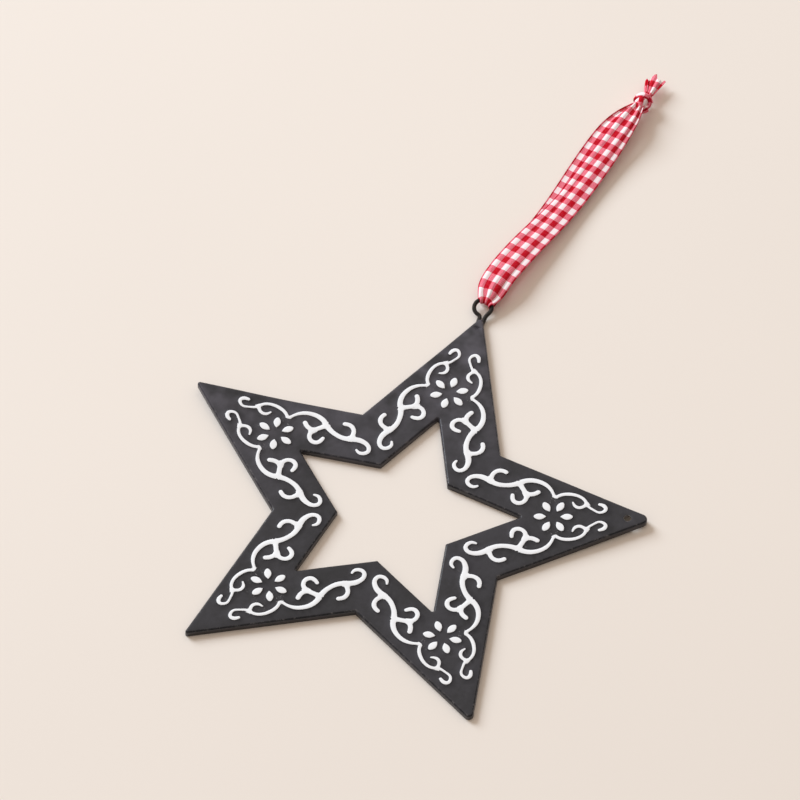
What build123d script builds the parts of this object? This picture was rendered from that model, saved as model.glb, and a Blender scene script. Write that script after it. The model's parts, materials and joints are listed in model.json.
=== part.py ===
from build123d import *
import os
from math import atan2, cos, degrees, hypot, radians, sin, tan

# Pressed tin star with a hanging ribbon. Millimetres, +Z up, the star lies face up and its rim
# stands on Z = 0. While the pieces are made the star's centre is the origin and +Y runs up the
# arm that carries the wire eye.

# Star
arm_count = 5
tip_radius = 83.0        # centre to the sharp tip of an arm
notch_radius = 40.4      # centre to the notch between two arms
limb_width = 18.4        # tin between the outer edge and the open middle
eye_tip_rounding = 1.0   # tip of the arm that carries the eye
hole_tip_rounding = 2.0  # tip of the arm with the punched hole, clockwise from it
lower_tip_rounding = 1.5
left_tip_rounding = 0.8  # tips of the arms on the left
opening_rounding = 0.4
sheet = 0.4              # tin plate
rim_height = 2.2         # folded edge, floor to face
fold_radius = 0.35       # outside of the fold
hole_radius = 1.2        # punched hole near the tip of one arm
hole_inset = 9.0         # sharp tip to hole

# Pressed relief and its enamel
relief = 0.15            # ridges stand this far above the face
shoulder = 0.25          # black edge of a ridge beside its enamel
enamel = 0.1
pattern_length = 3.0     # widths of the pattern along one limb
petal_count = 6
petal_length = 4.0
petal_width = 2.3
petal_fullness = 0.85    # share of its width that a petal keeps towards both ends
petal_inset = 2.3        # flower centre to the inner point of a petal
flower_depth = 1.79      # widths of the pattern from tip to flower centre

# Wire eye
wire = 1.4
eye_radius = 2.9         # centre line of the ring
eye_rise = 4.1           # tip to the middle of the ring
eye_offset = 1.0         # ring stands to the left of the arm's centre line
eye_tilt = 12.0          # ring leans up from the floor, degrees
tilt_radius = 3.0
leg_gap = 0.2
leg_cover = 0.8          # solder beyond the ends of the legs
leg_clearance = 0.2      # legs and solder to the folded edges
seat_gap = 0.05          # legs under the sheet
solder_length = 5.0
solder_width = 4.6
solder_depth = 1.1
solder_corner = 1.5
solder_rounding = 0.5

# Ribbon, with heights counted from the floor
ribbon_width = 10.5
ribbon = 0.3
ribbon_heading = 13.0    # clockwise from +Y, degrees
gather_width = 2.8       # ribbon bunched inside the eye
bight_gap = 0.65         # bunched ribbon to wire
bunch_length = 1.5       # from the eye to where the ribbon opens out
flare_length = 6.0       # from the eye to full width
corner_share = 0.45      # part of a run that a rounded corner may take
knot_distance = 96.6     # eye to the middle of the knot
knot_length = 7.5
knot_radius = 3.1        # with the turn of ribbon around it
knot_core = 2.6
knot_neck = 1.8          # radius of the ends of the knot
wrap_radius = 0.9        # turn of ribbon around the knot
wrap_slant = 20.0        # degrees
strand_gap = 0.7         # middle to middle of the two strands inside the knot
tail_length = 8.0        # free end beyond the knot
tail_spread = 10.0       # degrees each way
tail_width = 5.0
tail_rise = 1.2          # ends of the tails above and below the knot's middle
floor_gap = 0.05

# One half of an arm's scrollwork, stroke by stroke: points down from the tip in widths of the
# pattern, out from the arm's centre line in the arm's half widths one pattern width below the tip,
# and the stroke's width there
upper_stem = [(1.77, 0.82, 1.1), (1.67, 0.96, 1.2), (1.52, 1.01, 1.3), (1.35, 0.93, 1.15),
              (1.237, 0.727, 1.1), (1.184, 0.489, 1.0), (1.08, 0.31, 0.8), (0.97, 0.21, 0.8),
              (0.872, 0.377, 1.15), (0.903, 0.507, 1.25), (0.98, 0.575, 0.9)]
lower_stem = [(1.77, 0.82, 1.0), (1.82, 1.13, 1.1), (1.91, 1.38, 1.45), (2.05, 1.55, 1.6),
              (2.185, 1.605, 1.75), (2.34, 1.54, 1.85), (2.47, 1.415, 1.85), (2.63, 1.36, 1.65),
              (2.77, 1.39, 1.75), (2.91, 1.53, 1.9), (3.03, 1.68, 2.0), (3.15, 1.725, 1.7),
              (3.26, 1.66, 1.5), (3.31, 1.485, 1.45), (3.265, 1.30, 1.4), (3.19, 1.24, 1.35),
              (3.13, 1.28, 1.2)]
top_curl = [(1.20, 0.58, 1.1), (1.258, 0.477, 1.15), (1.33, 0.415, 1.2), (1.41, 0.48, 1.15),
            (1.45, 0.645, 0.65)]
middle_curl = [(2.39, 1.46, 1.7), (2.335, 1.24, 1.65), (2.28, 1.01, 1.65), (2.27, 0.805, 1.55),
               (2.32, 0.635, 1.45), (2.40, 0.575, 1.6), (2.48, 0.645, 1.55), (2.51, 0.805, 1.5),
               (2.51, 0.93, 1.3)]
spur = [(2.28, 1.0, 1.6), (2.185, 0.98, 1.65), (2.12, 1.01, 1.65), (2.06, 1.08, 1.6)]
side_curl = [(2.90, 1.53, 1.6), (2.885, 1.73, 1.6), (2.84, 1.91, 1.5), (2.755, 2.01, 1.6),
             (2.685, 2.0, 1.55), (2.63, 1.945, 1.5)]
scroll_strokes = [upper_stem, lower_stem, top_curl, middle_curl, spur, side_curl]

# Ribbon seen from the side: distance from the eye and height, between the eye and the knot
upper_strand = [(10.0, 5.4), (26.0, 3.8), (52.0, 2.6), (74.0, 3.4), (88.0, 5.0)]
lower_strand = [(14.0, 0.7), (50.0, 0.5), (76.0, 0.9), (88.0, 2.0)]

# Ribbon seen from above: distance from the eye and drift to the right, where it has its full width
ribbon_drift = [(flare_length, -0.5), (22.0, -1.2), (46.0, 0.2), (73.0, -1.0)]

# Worked out from the sizes above
step = 360 / arm_count
notch = Vector(notch_radius * sin(radians(step / 2)), notch_radius * cos(radians(step / 2)))
limb_length = hypot(notch.X, tip_radius - notch.Y)
half_tip = degrees(atan2(notch.X, tip_radius - notch.Y))
edge_distance = tip_radius * sin(radians(half_tip))
opening_share = 1 - limb_width / edge_distance
pattern_unit = min(limb_width, limb_length / pattern_length)
eye_tip = tip_radius - eye_tip_rounding / sin(radians(half_tip)) + eye_tip_rounding
tip_roundings = [eye_tip_rounding, hole_tip_rounding, lower_tip_rounding]
tip_roundings += [left_tip_rounding] * (arm_count - len(tip_roundings))
face_height = rim_height - sheet
leg_offset = (wire + leg_gap) / 2
leg_height = face_height - seat_gap - wire / 2
ridge_top = rim_height + relief
bight_radius = (wire + ribbon) / 2 + bight_gap
knot_height = knot_radius + floor_gap


def star_face(share, roundings):
    """Star as a flat face, a share of the full size, each tip with its own rounding."""
    corners = []
    for arm in range(arm_count):
        for radius, angle in ((tip_radius, arm * step), (notch_radius, (arm + 0.5) * step)):
            turned = radians(angle)
            corners.append((share * radius * sin(turned), share * radius * cos(turned)))
    face = make_face(Polyline(*corners, close=True))
    for tip, rounding in zip(corners[::2], roundings):
        face = fillet(face.vertices().sort_by_distance(tip)[0], rounding)
    return face


def hollow_end(half_width):
    """Where the hollow behind the eye's arm is this wide to each side."""
    wall = sheet / cos(radians(half_tip))
    return tip_radius - (half_width + wall) / tan(radians(half_tip))


def pattern_point(depth, across):
    """Place of a point of the pattern on the arm that points along +Y."""
    return Vector(across * pattern_unit * tan(radians(half_tip)), tip_radius - depth * pattern_unit)


def stroke(places, grow):
    """Tapered stroke with round ends along a smooth curve, as a flat face."""
    points = [pattern_point(depth, across) for depth, across, _ in places]
    half = [(width + grow) / 2 for _, _, width in places]
    curve = Spline(*points)
    ahead = [curve.tangent_at(curve.param_at_point(point)) for point in points]
    side = [Vector(-a.Y, a.X) * h for a, h in zip(ahead, half)]
    left = [point + s for point, s in zip(points, side)]
    right = [point - s for point, s in zip(points, side)]
    start_cap = ThreePointArc(left[0], points[0] - ahead[0] * half[0], right[0])
    end_cap = ThreePointArc(left[-1], points[-1] + ahead[-1] * half[-1], right[-1])
    return make_face([Spline(*left), end_cap, Spline(*right), start_cap])


def scroll_face(grow):
    """Scrollwork of the right half of the arm along +Y."""
    faces = [stroke(places, grow) for places in scroll_strokes]
    return faces[0] + faces[1:]


def flower_face(grow):
    """Six almond petals around the flower's centre, pointed inwards."""
    inner = petal_inset - grow / 2
    outer = petal_inset + petal_length + grow / 2
    near = inner + (outer - inner) / 3
    far = outer - (outer - inner) / 4
    half = petal_fullness * (petal_width + grow) / 2
    petal = make_face(Spline((inner, 0), (near, half), (far, half), (outer, 0),
                             (far, -half), (near, -half), (inner, 0)))
    centre = Pos(pattern_point(flower_depth, 0))
    turns = [Rot(0, 0, (k + 0.5) * 360 / petal_count) for k in range(petal_count)]
    return Sketch() + [centre * turn * petal for turn in turns]


def arm_turn(arm):
    """Turn from the arm along +Y to another arm, clockwise."""
    return Rot(0, 0, -arm * step)


def pattern_solids(grow, low, high):
    """Scrollwork and flower of every arm between two heights, by node name."""
    scroll = Pos(0, 0, low) * extrude(scroll_face(grow), high - low)
    flower = Pos(0, 0, low) * extrude(flower_face(grow), high - low)
    solids = {}
    for arm in range(arm_count):
        solids[f"scroll_{arm + 1}_right"] = arm_turn(arm) * scroll
        solids[f"scroll_{arm + 1}_left"] = arm_turn(arm) * mirror(scroll, Plane.YZ)
        solids[f"flower_{arm + 1}"] = arm_turn(arm) * flower
    return solids


def star_shell():
    """Tin star with folded edges, pressed ridges, a rim gap for the eye and a punched hole."""
    outline = star_face(1, tip_roundings)
    opening = star_face(opening_share, [opening_rounding] * arm_count)
    blank = extrude(outline - opening, rim_height)
    shell = fillet(blank.faces().sort_by(Axis.Z)[-1].edges(), fold_radius)
    inside = offset(outline, -sheet, kind=Kind.INTERSECTION)
    inside -= offset(opening, sheet, kind=Kind.INTERSECTION)
    shell -= extrude(inside, face_height)
    shell += list(pattern_solids(2 * shoulder, face_height + sheet / 2, ridge_top).values())
    grooves = pattern_solids(2 * (shoulder - sheet), 0, ridge_top - sheet)
    shell -= list(grooves.values())
    gap_half = leg_offset + wire / 2 + leg_clearance
    gap_start = hollow_end(gap_half)
    gap = Box(2 * gap_half, tip_radius - gap_start, face_height, align=(Align.CENTER, Align.MIN, Align.MIN))
    shell -= Pos(0, gap_start, 0) * gap
    hole = Cylinder(hole_radius, rim_height, align=(Align.CENTER, Align.CENTER, Align.MIN))
    shell -= arm_turn(1) * Pos(0, tip_radius - hole_inset, 0) * hole
    return shell


# The legs run along Y to the tip of their arm, then bend up into the plane of the ring
tilt_run = tilt_radius * sin(radians(eye_tilt))
tilt_rise = tilt_radius * (1 - cos(radians(eye_tilt)))
eye_frame = Pos(0, eye_tip, leg_height)
ring_frame = Pos(0, tilt_run, tilt_rise) * Rot(eye_tilt, 0, 0)
ring_middle = Vector(-eye_offset, eye_rise)
heading = Vector(sin(radians(ribbon_heading)), cos(radians(ribbon_heading)))
crown = (eye_frame * ring_frame * Pos(ring_middle + heading * eye_radius)).position
solder_end = hollow_end(solder_width / 2 + leg_clearance)
leg_end = solder_end - solder_length + leg_cover


def leg_route(side):
    """One leg of the eye, from its end to where it runs into the ring."""
    leg = side * leg_offset
    reach = leg_offset + side * eye_offset
    neck_radius = (reach ** 2 + eye_rise ** 2 - eye_radius ** 2) / (2 * (eye_radius - reach))
    turn = atan2(eye_rise, reach + neck_radius)
    neck = []
    for angle in (0, turn / 2, turn):
        neck.append((leg + side * neck_radius * (1 - cos(angle)), neck_radius * sin(angle)))
    half_tilt = radians(eye_tilt) / 2
    bend_middle = (leg, tilt_radius * sin(half_tilt), tilt_radius * (1 - cos(half_tilt)))
    return [
        Line((leg, leg_end - eye_tip, 0), (leg, 0, 0)),
        ThreePointArc((leg, 0, 0), bend_middle, (leg, tilt_run, tilt_rise)),
        ring_frame * ThreePointArc(*neck),
    ]


def eye_wire():
    """Wire eye: two legs side by side, bent up a little and opened into a ring."""
    left, right = leg_route(-1), leg_route(1)
    top = ring_frame * Pos(ring_middle + Vector(0, eye_radius))
    ring = ThreePointArc(left[-1] @ 1, top.position, right[-1] @ 1)
    path = Wire.combine([*left, ring, *right])[0]
    return eye_frame * sweep(Plane(path @ 0, z_dir=path % 0) * Circle(wire / 2), path=path)


def eye_solder(legs):
    """Flat bead of solder that holds the legs under the sheet."""
    puddle = extrude(RectangleRounded(solder_width, solder_length, solder_corner), solder_depth)
    bead = fillet(puddle.faces().sort_by(Axis.Z)[0].edges(), solder_rounding)
    return Pos(0, solder_end - solder_length / 2, face_height - solder_depth) * bead - legs


def soft_route(points):
    """Path through points, each corner rounded as widely as its two runs allow."""
    radii = []
    for before, corner, after in zip(points, points[1:], points[2:]):
        run_in = Vector(*corner) - Vector(*before)
        run_out = Vector(*after) - Vector(*corner)
        half_turn = radians(run_in.get_angle(run_out)) / 2
        radii.append(corner_share * min(run_in.length, run_out.length) / tan(half_turn))
    return FilletPolyline(*points, radius=radii)


def ribbon_band(route, sides):
    """Ribbon with a route seen from the side, cut between two edges seen from above."""
    right, left = sides
    outline = make_face([right, Line(right @ 1, left @ 1), left, Line(left @ 0, right @ 0)])
    band = extrude(Plane.YZ * trace(route, ribbon), ribbon_width, both=True)
    return band & extrude(outline, 2 * knot_distance, both=True)


def ribbon_loop():
    """Both strands and the bight around the eye, in one length."""
    end = knot_distance - strand_gap / 2
    strands = []
    for side, middle in ((1, upper_strand), (-1, lower_strand)):
        start = crown.Z + side * bight_radius
        stop = (end, knot_height + side * strand_gap / 2)
        strands.append(soft_route([(0, start), (bunch_length, start), *middle, stop]))
    bight = ThreePointArc((0, crown.Z + bight_radius), (-bight_radius, crown.Z),
                          (0, crown.Z - bight_radius))
    route = Wire([*strands[0].edges(), *bight.edges(), *strands[1].edges()])
    sides = []
    for side in (1, -1):
        bunched = side * gather_width / 2
        points = [(bunched, -2 * bight_radius), (bunched, bunch_length)]
        points += [(drift + side * ribbon_width / 2, distance) for distance, drift in ribbon_drift]
        sides.append(soft_route([*points, (side * knot_neck, end)]))
    return ribbon_band(route, sides)


def ribbon_tail(side):
    """Short free end beyond the knot, turned to one side: the left one lies above the right."""
    start = knot_distance + strand_gap / 2
    bend = knot_distance + knot_length / 2
    end = bend + tail_length
    root = knot_height - side * strand_gap / 2
    route = soft_route([(start, root), (bend, root), (end, knot_height - side * tail_rise)])
    lean = side * (end - bend) * tan(radians(tail_spread))
    edges = [Line((edge * knot_neck / 2, start), (lean + edge * tail_width / 2, end)) for edge in (1, -1)]
    return ribbon_band(route, edges)


def ribbon_knot():
    """Tight overhand knot: a barrel with one slanted turn of ribbon around it."""
    half = knot_length / 2
    profile = make_face([
        Line((0, -half), (knot_neck, -half)),
        ThreePointArc((knot_neck, -half), (knot_core, 0), (knot_neck, half)),
        Line((knot_neck, half), (0, half)),
        Line((0, half), (0, -half)),
    ])
    wrap = Rot(90, 0, wrap_slant) * Torus(knot_radius - wrap_radius, wrap_radius)
    return Pos(0, knot_distance, knot_height) * (revolve(profile, Axis.Y) + wrap)


parts = {"star_shell": star_shell()}
parts |= pattern_solids(0, ridge_top, ridge_top + enamel)
parts["eye_wire"] = eye_wire()
parts["eye_solder"] = eye_solder(parts["eye_wire"])
star_box = Compound(list(parts.values())).bounding_box()

ribbon_frame = Pos(crown.X, crown.Y, 0) * Rot(0, 0, -ribbon_heading)
loop = ribbon_loop()
tails = {"ribbon_tail_left": ribbon_tail(-1), "ribbon_tail_right": ribbon_tail(1)}
parts["ribbon_loop"] = ribbon_frame * loop
parts["ribbon_knot"] = ribbon_frame * (ribbon_knot() - [loop, *tails.values()])
parts |= {name: ribbon_frame * tail for name, tail in tails.items()}

# The frame's origin is under the middle of the star and its eye, on the floor
origin = Vector(star_box.center().X, star_box.center().Y, star_box.min.Z)
os.makedirs("parts", exist_ok=True)
for name, piece in parts.items():
    export_step(Pos(-origin) * piece, os.path.join("parts", f"{name}.step"))
print("origin from the star's centre:", origin)
print("ribbon turns about:", crown - origin)
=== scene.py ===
import json
import logging
import math
from collections.abc import Sequence
from dataclasses import dataclass, field
from enum import Enum

import bpy
import numpy as np
from mathutils import Matrix, Vector
from mathutils.geometry import delaunay_2d_cdt


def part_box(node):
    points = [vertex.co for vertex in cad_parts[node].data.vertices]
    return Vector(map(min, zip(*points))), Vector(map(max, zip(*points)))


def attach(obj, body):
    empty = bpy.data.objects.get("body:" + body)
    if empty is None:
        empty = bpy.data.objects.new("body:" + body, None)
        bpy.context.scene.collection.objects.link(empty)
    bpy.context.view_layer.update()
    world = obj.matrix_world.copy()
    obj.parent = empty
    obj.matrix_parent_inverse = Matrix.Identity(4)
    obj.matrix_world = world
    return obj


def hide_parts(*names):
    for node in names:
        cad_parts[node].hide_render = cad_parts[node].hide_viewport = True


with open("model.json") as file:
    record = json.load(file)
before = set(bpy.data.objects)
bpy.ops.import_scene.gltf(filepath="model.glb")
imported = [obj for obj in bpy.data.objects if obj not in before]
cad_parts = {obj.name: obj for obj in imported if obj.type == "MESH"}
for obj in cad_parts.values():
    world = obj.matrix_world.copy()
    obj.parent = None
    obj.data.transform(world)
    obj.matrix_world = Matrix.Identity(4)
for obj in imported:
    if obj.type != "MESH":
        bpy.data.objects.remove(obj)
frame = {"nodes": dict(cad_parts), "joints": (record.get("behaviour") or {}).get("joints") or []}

log = logging.getLogger("tin_star")

# Shapes are worked out in millimetres, in the frame of the solids, and become meshes in metres
MM = 0.001
FAR_OFF = 1e3
TINY = 1e-9

Colour = tuple[float, float, float]


class Finish(Enum):
    """Material slots of the record that new pieces take."""

    TIN = "black_tin"
    ENAMEL = "white_enamel"
    CLOTH = "gingham_ribbon"


class Body(Enum):
    """Moving bodies of the ornament."""

    STAR = "star"
    RIBBON = "ribbon"


class ArmKind(Enum):
    """What sits at the tip of an arm."""

    EYE = "eye"
    HOLE = "hole"
    LOWER = "lower"
    LEFT = "left"


def srgb(red: int, green: int, blue: int) -> Colour:
    """Turns a colour of 0 to 255 into the linear values that shaders take.

    Args:
        red: Red part.
        green: Green part.
        blue: Blue part.

    Returns:
        The linear colour.
    """
    parts = [part / 255 for part in (red, green, blue)]
    return tuple(c / 12.92 if c < 0.04045 else ((c + 0.055) / 1.055) ** 2.4 for c in parts)


class Val:
    """A number in a node tree: arithmetic on it adds Math nodes."""

    def __init__(self, nodes: "NodeTree", socket: bpy.types.NodeSocket) -> None:
        """Wraps one output socket."""
        self.nodes = nodes
        self.socket = socket

    def math(self, operation: str, *others: "Val | float", first: "Val | float | None" = None) -> "Val":
        """Adds one Math node.

        Args:
            operation: Blender's name of the operation.
            others: Further operands.
            first: Operand that comes before this one, if any.

        Returns:
            The result.
        """
        operands = [self, *others] if first is None else [first, self, *others]
        return self.nodes.value("ShaderNodeMath", {"operation": operation}, dict(enumerate(operands)))

    def __add__(self, other: "Val | float") -> "Val":
        """Sum."""
        return self.math("ADD", other)

    def __radd__(self, other: float) -> "Val":
        """Sum with a plain number first."""
        return self.math("ADD", other)

    def __sub__(self, other: "Val | float") -> "Val":
        """Difference."""
        return self.math("SUBTRACT", other)

    def __rsub__(self, other: float) -> "Val":
        """Difference with a plain number first."""
        return self.math("SUBTRACT", first=other)

    def __mul__(self, other: "Val | float") -> "Val":
        """Product."""
        return self.math("MULTIPLY", other)

    def __rmul__(self, other: float) -> "Val":
        """Product with a plain number first."""
        return self.math("MULTIPLY", other)

    def __truediv__(self, other: "Val | float") -> "Val":
        """Quotient."""
        return self.math("DIVIDE", other)

    def between(self, low: float, high: float) -> "Val":
        """Smooth step from 0 at low to 1 at high; a low above high falls instead.

        Args:
            low: Value that gives 0.
            high: Value that gives 1.

        Returns:
            The step.
        """
        start, end, results = (low, high, (0.0, 1.0)) if low < high else (high, low, (1.0, 0.0))
        inputs = {"Value": self, "From Min": start, "From Max": end,
                  "To Min": results[0], "To Max": results[1]}
        return self.nodes.value("ShaderNodeMapRange", {"interpolation_type": "SMOOTHSTEP"}, inputs)


class NodeTree:
    """A node tree and the means to fill it."""

    def __init__(self, tree: bpy.types.NodeTree) -> None:
        """Takes a tree and empties it."""
        self.tree = tree
        tree.nodes.clear()

    def feed(self, socket: bpy.types.NodeSocket, given: object) -> None:
        """Links an input or sets its value.

        Args:
            socket: The input.
            given: A Val, an output socket, a colour or a plain value.
        """
        given = given.socket if isinstance(given, Val) else given
        if isinstance(given, bpy.types.NodeSocket):
            self.tree.links.new(given, socket)
        else:
            socket.default_value = (*given, 1.0) if socket.type == "RGBA" else given

    def node(self, kind: str, settings: dict | None = None, inputs: dict | None = None) -> bpy.types.Node:
        """Adds a node.

        Args:
            kind: Blender's type name of the node.
            settings: Properties, set first.
            inputs: What feed takes, by input name or number.

        Returns:
            The node.
        """
        made = self.tree.nodes.new(kind)
        for name, setting in (settings or {}).items():
            setattr(made, name, setting)
        for name, given in (inputs or {}).items():
            self.feed(made.inputs[name], given)
        return made

    def value(self, kind: str, settings: dict | None = None, inputs: dict | None = None,
              output: int | str = 0) -> Val:
        """Adds a node and takes one of its outputs as a number.

        Args:
            kind: Blender's type name of the node.
            settings: As for node.
            inputs: As for node.
            output: Output to take.

        Returns:
            That output.
        """
        return Val(self, self.node(kind, settings, inputs).outputs[output])


class Shader(NodeTree):
    """One material's node tree with a Principled surface."""

    def __init__(self, name: str) -> None:
        """Makes the material and its fixed nodes."""
        self.material = bpy.data.materials.new(name)
        self.material.use_nodes = True
        super().__init__(self.material.node_tree)
        self.surface = self.node("ShaderNodeBsdfPrincipled")
        self.node("ShaderNodeOutputMaterial", inputs={"Surface": self.surface.outputs["BSDF"]})
        self.coordinates = self.node("ShaderNodeTexCoord").outputs["Object"]

    def noise(self, size: float, detail: float = 3.0, roughness: float = 0.55, shift: float = 0.0) -> Val:
        """Noise over the object's own coordinates.

        Args:
            size: Size of its patches in millimetres.
            detail: Octaves.
            roughness: Weight of the finer octaves.
            shift: Moves it, so that two noises differ, in metres.

        Returns:
            Its value, about 0.5 in the mean.
        """
        moved = {"Vector": self.coordinates, "Location": (shift, shift, shift)}
        place = self.node("ShaderNodeMapping", {}, moved).outputs[0]
        inputs = {"Vector": place, "Scale": 1 / (size * MM), "Detail": detail, "Roughness": roughness}
        return self.value("ShaderNodeTexNoise", {"noise_dimensions": "3D"}, inputs)

    def place(self, way: tuple[float, float, float]) -> Val:
        """Place of the surface along a direction, in metres."""
        return self.value("ShaderNodeVectorMath", {"operation": "DOT_PRODUCT"},
                          {0: self.coordinates, 1: way}, "Value")

    def attribute(self, name: str) -> Val:
        """Number kept for each point of the piece."""
        return self.value("ShaderNodeAttribute", {"attribute_name": name}, {}, "Fac")

    def blend(self, factor: Val, first: Colour | bpy.types.NodeSocket,
              second: Colour | bpy.types.NodeSocket) -> bpy.types.NodeSocket:
        """Mixes two colours.

        Args:
            factor: 0 gives the first and 1 the second.
            first: Colour or socket.
            second: Colour or socket.

        Returns:
            The mixed colour's socket.
        """
        inputs = {"Factor": factor, 6: first, 7: second}
        return self.node("ShaderNodeMix", {"data_type": "RGBA"}, inputs).outputs[2]

    def bump(self, height: Val, depth: float, strength: float = 1.0) -> bpy.types.NodeSocket:
        """Bump of a height of 0 to 1.

        Args:
            height: The height.
            depth: What a height of 1 stands for, in millimetres.
            strength: Share of it that shows.

        Returns:
            The normal's socket.
        """
        inputs = {"Strength": strength, "Distance": depth * MM, "Height": height}
        return self.node("ShaderNodeBump", {}, inputs).outputs[0]

    def dress(self, inputs: dict) -> bpy.types.Material:
        """Feeds the surface.

        Args:
            inputs: Values, Val objects or sockets by the surface's input names.

        Returns:
            The material.
        """
        for name, given in inputs.items():
            self.feed(self.surface.inputs[name], given)
        return self.material


@dataclass(frozen=True)
class BlackTin:
    """Satin black paint over pressed tin plate, mottled, with a painted sheen that lightens it towards the
    top, rubbed and with a painted highlight at the folds.
    """

    dark: Colour = srgb(29, 29, 35)
    pale: Colour = srgb(48, 47, 54)
    # Colour of the painted sheen, laid on lighter towards the top of the star
    painted_sheen: Colour = srgb(84, 81, 90)
    # Pale colour along the folds: partly rubbed paint, partly a painted highlight on the folded edges
    rubbed_and_highlight: Colour = srgb(120, 117, 117)
    # Colour of bare tin round the hole, which is partly a painted highlight on the hole's rim
    bare_and_rim_highlight: Colour = srgb(128, 124, 120)
    overspill: Colour = srgb(150, 148, 150)
    cloud_size: float = 22.0
    swell_size: float = 7.0
    grain_size: float = 1.6
    fleck_size: float = 0.5
    # Direction and span over which the painted sheen lightens the paint
    painted_sheen_way: tuple[float, float, float] = (-0.45, 0.89, 0.0)
    painted_sheen_start: float = -0.03
    painted_sheen_end: float = 0.09
    wear_and_highlight: float = 0.55
    spill: float = 0.6
    roughness: float = 0.26
    polish: float = 0.2
    shine: float = 0.55
    coat: float = 0.12
    coat_roughness: float = 0.1
    bump_depth: float = 0.5

    def material(self) -> bpy.types.Material:
        """Builds the paint from the edge, pattern and bare values of the tin's points; the bare ring round
        the hole is also a painted rim highlight.
        """
        s = Shader("black tin")
        cloud, swell = s.noise(self.cloud_size), s.noise(self.swell_size, 2, shift=0.5)
        grain, fleck = s.noise(self.grain_size, 4), s.noise(self.fleck_size, 2, shift=0.3)
        paint = s.blend((cloud * 0.7 + grain * 0.3).between(0.35, 0.65), self.dark, self.pale)
        # Painted sheen: in the swell's patches the paint turns lighter towards the top of the star, standing
        # in for light that the satin face reflects there
        painted_sheen_share = s.place(self.painted_sheen_way).between(self.painted_sheen_start, self.painted_sheen_end)
        paint = s.blend(painted_sheen_share * swell.between(0.3, 0.7), paint, self.painted_sheen)
        edge = s.attribute("edge")
        fold = edge.between(0.05, 0.3) * edge.between(0.75, 0.45)
        # Along the folds: partly real rubbed wear, partly a painted highlight on the folded edges
        worn_and_highlight = fold * (grain * 0.7 + fleck * 0.3).between(0.5, 0.68)
        paint = s.blend(worn_and_highlight * self.wear_and_highlight, paint, self.rubbed_and_highlight)
        pattern = s.attribute("pattern")
        near = pattern.between(0.5, 0.05)
        paint = s.blend(near * fleck.between(0.6, 0.72) * self.spill, paint, self.overspill)
        # Ring round the punched hole: partly bare tin, partly a painted highlight on its rim
        bare_and_rim_highlight = s.attribute("bare_and_rim_highlight")
        paint = s.blend(bare_and_rim_highlight * grain.between(0.3, 0.5), paint, self.bare_and_rim_highlight)
        rough = self.roughness + cloud * 0.14 + grain * 0.10 - fold * self.polish
        normal = s.bump(swell * 0.82 + grain * 0.12 + fleck * 0.06, self.bump_depth, 0.7)
        coat = self.coat + fold * (1 - self.coat)
        return s.dress({"Base Color": paint, "Roughness": rough, "Normal": normal, "Coat Weight": coat,
                        "Specular IOR Level": self.shine, "Coat Roughness": self.coat_roughness})


@dataclass(frozen=True)
class WhiteEnamel:
    """White enamel laid by hand on the ridges."""

    white: Colour = srgb(246, 249, 253)
    thin: Colour = srgb(234, 233, 236)
    under: Colour = srgb(70, 68, 70)
    cloud_size: float = 5.0
    grain_size: float = 0.9
    pit_size: float = 0.35
    rim_start: float = -0.30
    rim_end: float = -0.02
    pitting: float = 0.6
    roughness: float = 0.34
    bump_depth: float = 0.05

    def material(self) -> bpy.types.Material:
        """Builds the enamel, thinner and pitted towards its edges."""
        s = Shader("white enamel")
        cloud, grain = s.noise(self.cloud_size), s.noise(self.grain_size, 3)
        pit = s.noise(self.pit_size, 2, shift=0.7)
        rim = s.attribute("pattern").between(self.rim_start, self.rim_end)
        paint = s.blend(cloud.between(0.35, 0.75) * 0.4 + rim * 0.25, self.white, self.thin)
        pitted = (grain * 0.5 + pit * 0.5).between(0.58, 0.68) * self.pitting
        paint = s.blend(rim * pitted, paint, self.under)
        rough, normal = self.roughness + grain * 0.18, s.bump(grain, self.bump_depth, 0.7)
        return s.dress({"Base Color": paint, "Roughness": rough, "Normal": normal})


@dataclass(frozen=True)
class BlackWire:
    """Dark annealed wire under black paint, mottled with brown."""

    dark: Colour = srgb(27, 24, 23)
    brown: Colour = srgb(50, 43, 39)
    cloud_size: float = 3.0
    grain_size: float = 0.5
    roughness: float = 0.30
    bump_depth: float = 0.04

    def material(self) -> bpy.types.Material:
        """Builds the wire's finish."""
        s = Shader("black wire")
        cloud, grain = s.noise(self.cloud_size), s.noise(self.grain_size, 3)
        paint = s.blend((cloud * 0.5 + grain * 0.5).between(0.42, 0.66), self.dark, self.brown)
        rough, normal = self.roughness + grain * 0.2, s.bump(grain, self.bump_depth, 0.6)
        return s.dress({"Base Color": paint, "Roughness": rough, "Normal": normal})


@dataclass(frozen=True)
class Solder:
    """Dull grey solder with a skin of flux."""

    grey: Colour = srgb(150, 150, 152)
    flux: Colour = srgb(104, 94, 80)
    cloud_size: float = 2.2
    grain_size: float = 0.6
    roughness: float = 0.35
    dulling: float = 0.7
    bump_depth: float = 0.08

    def material(self) -> bpy.types.Material:
        """Builds the solder."""
        s = Shader("solder")
        cloud, grain = s.noise(self.cloud_size), s.noise(self.grain_size, 3)
        skin = cloud.between(0.45, 0.65)
        metal = s.blend(skin, self.grey, self.flux)
        rough, normal = self.roughness + skin * 0.25, s.bump(grain, self.bump_depth, 0.6)
        return s.dress({"Base Color": metal, "Metallic": 1 - skin * self.dulling, "Roughness": rough,
                        "Normal": normal})


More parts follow.
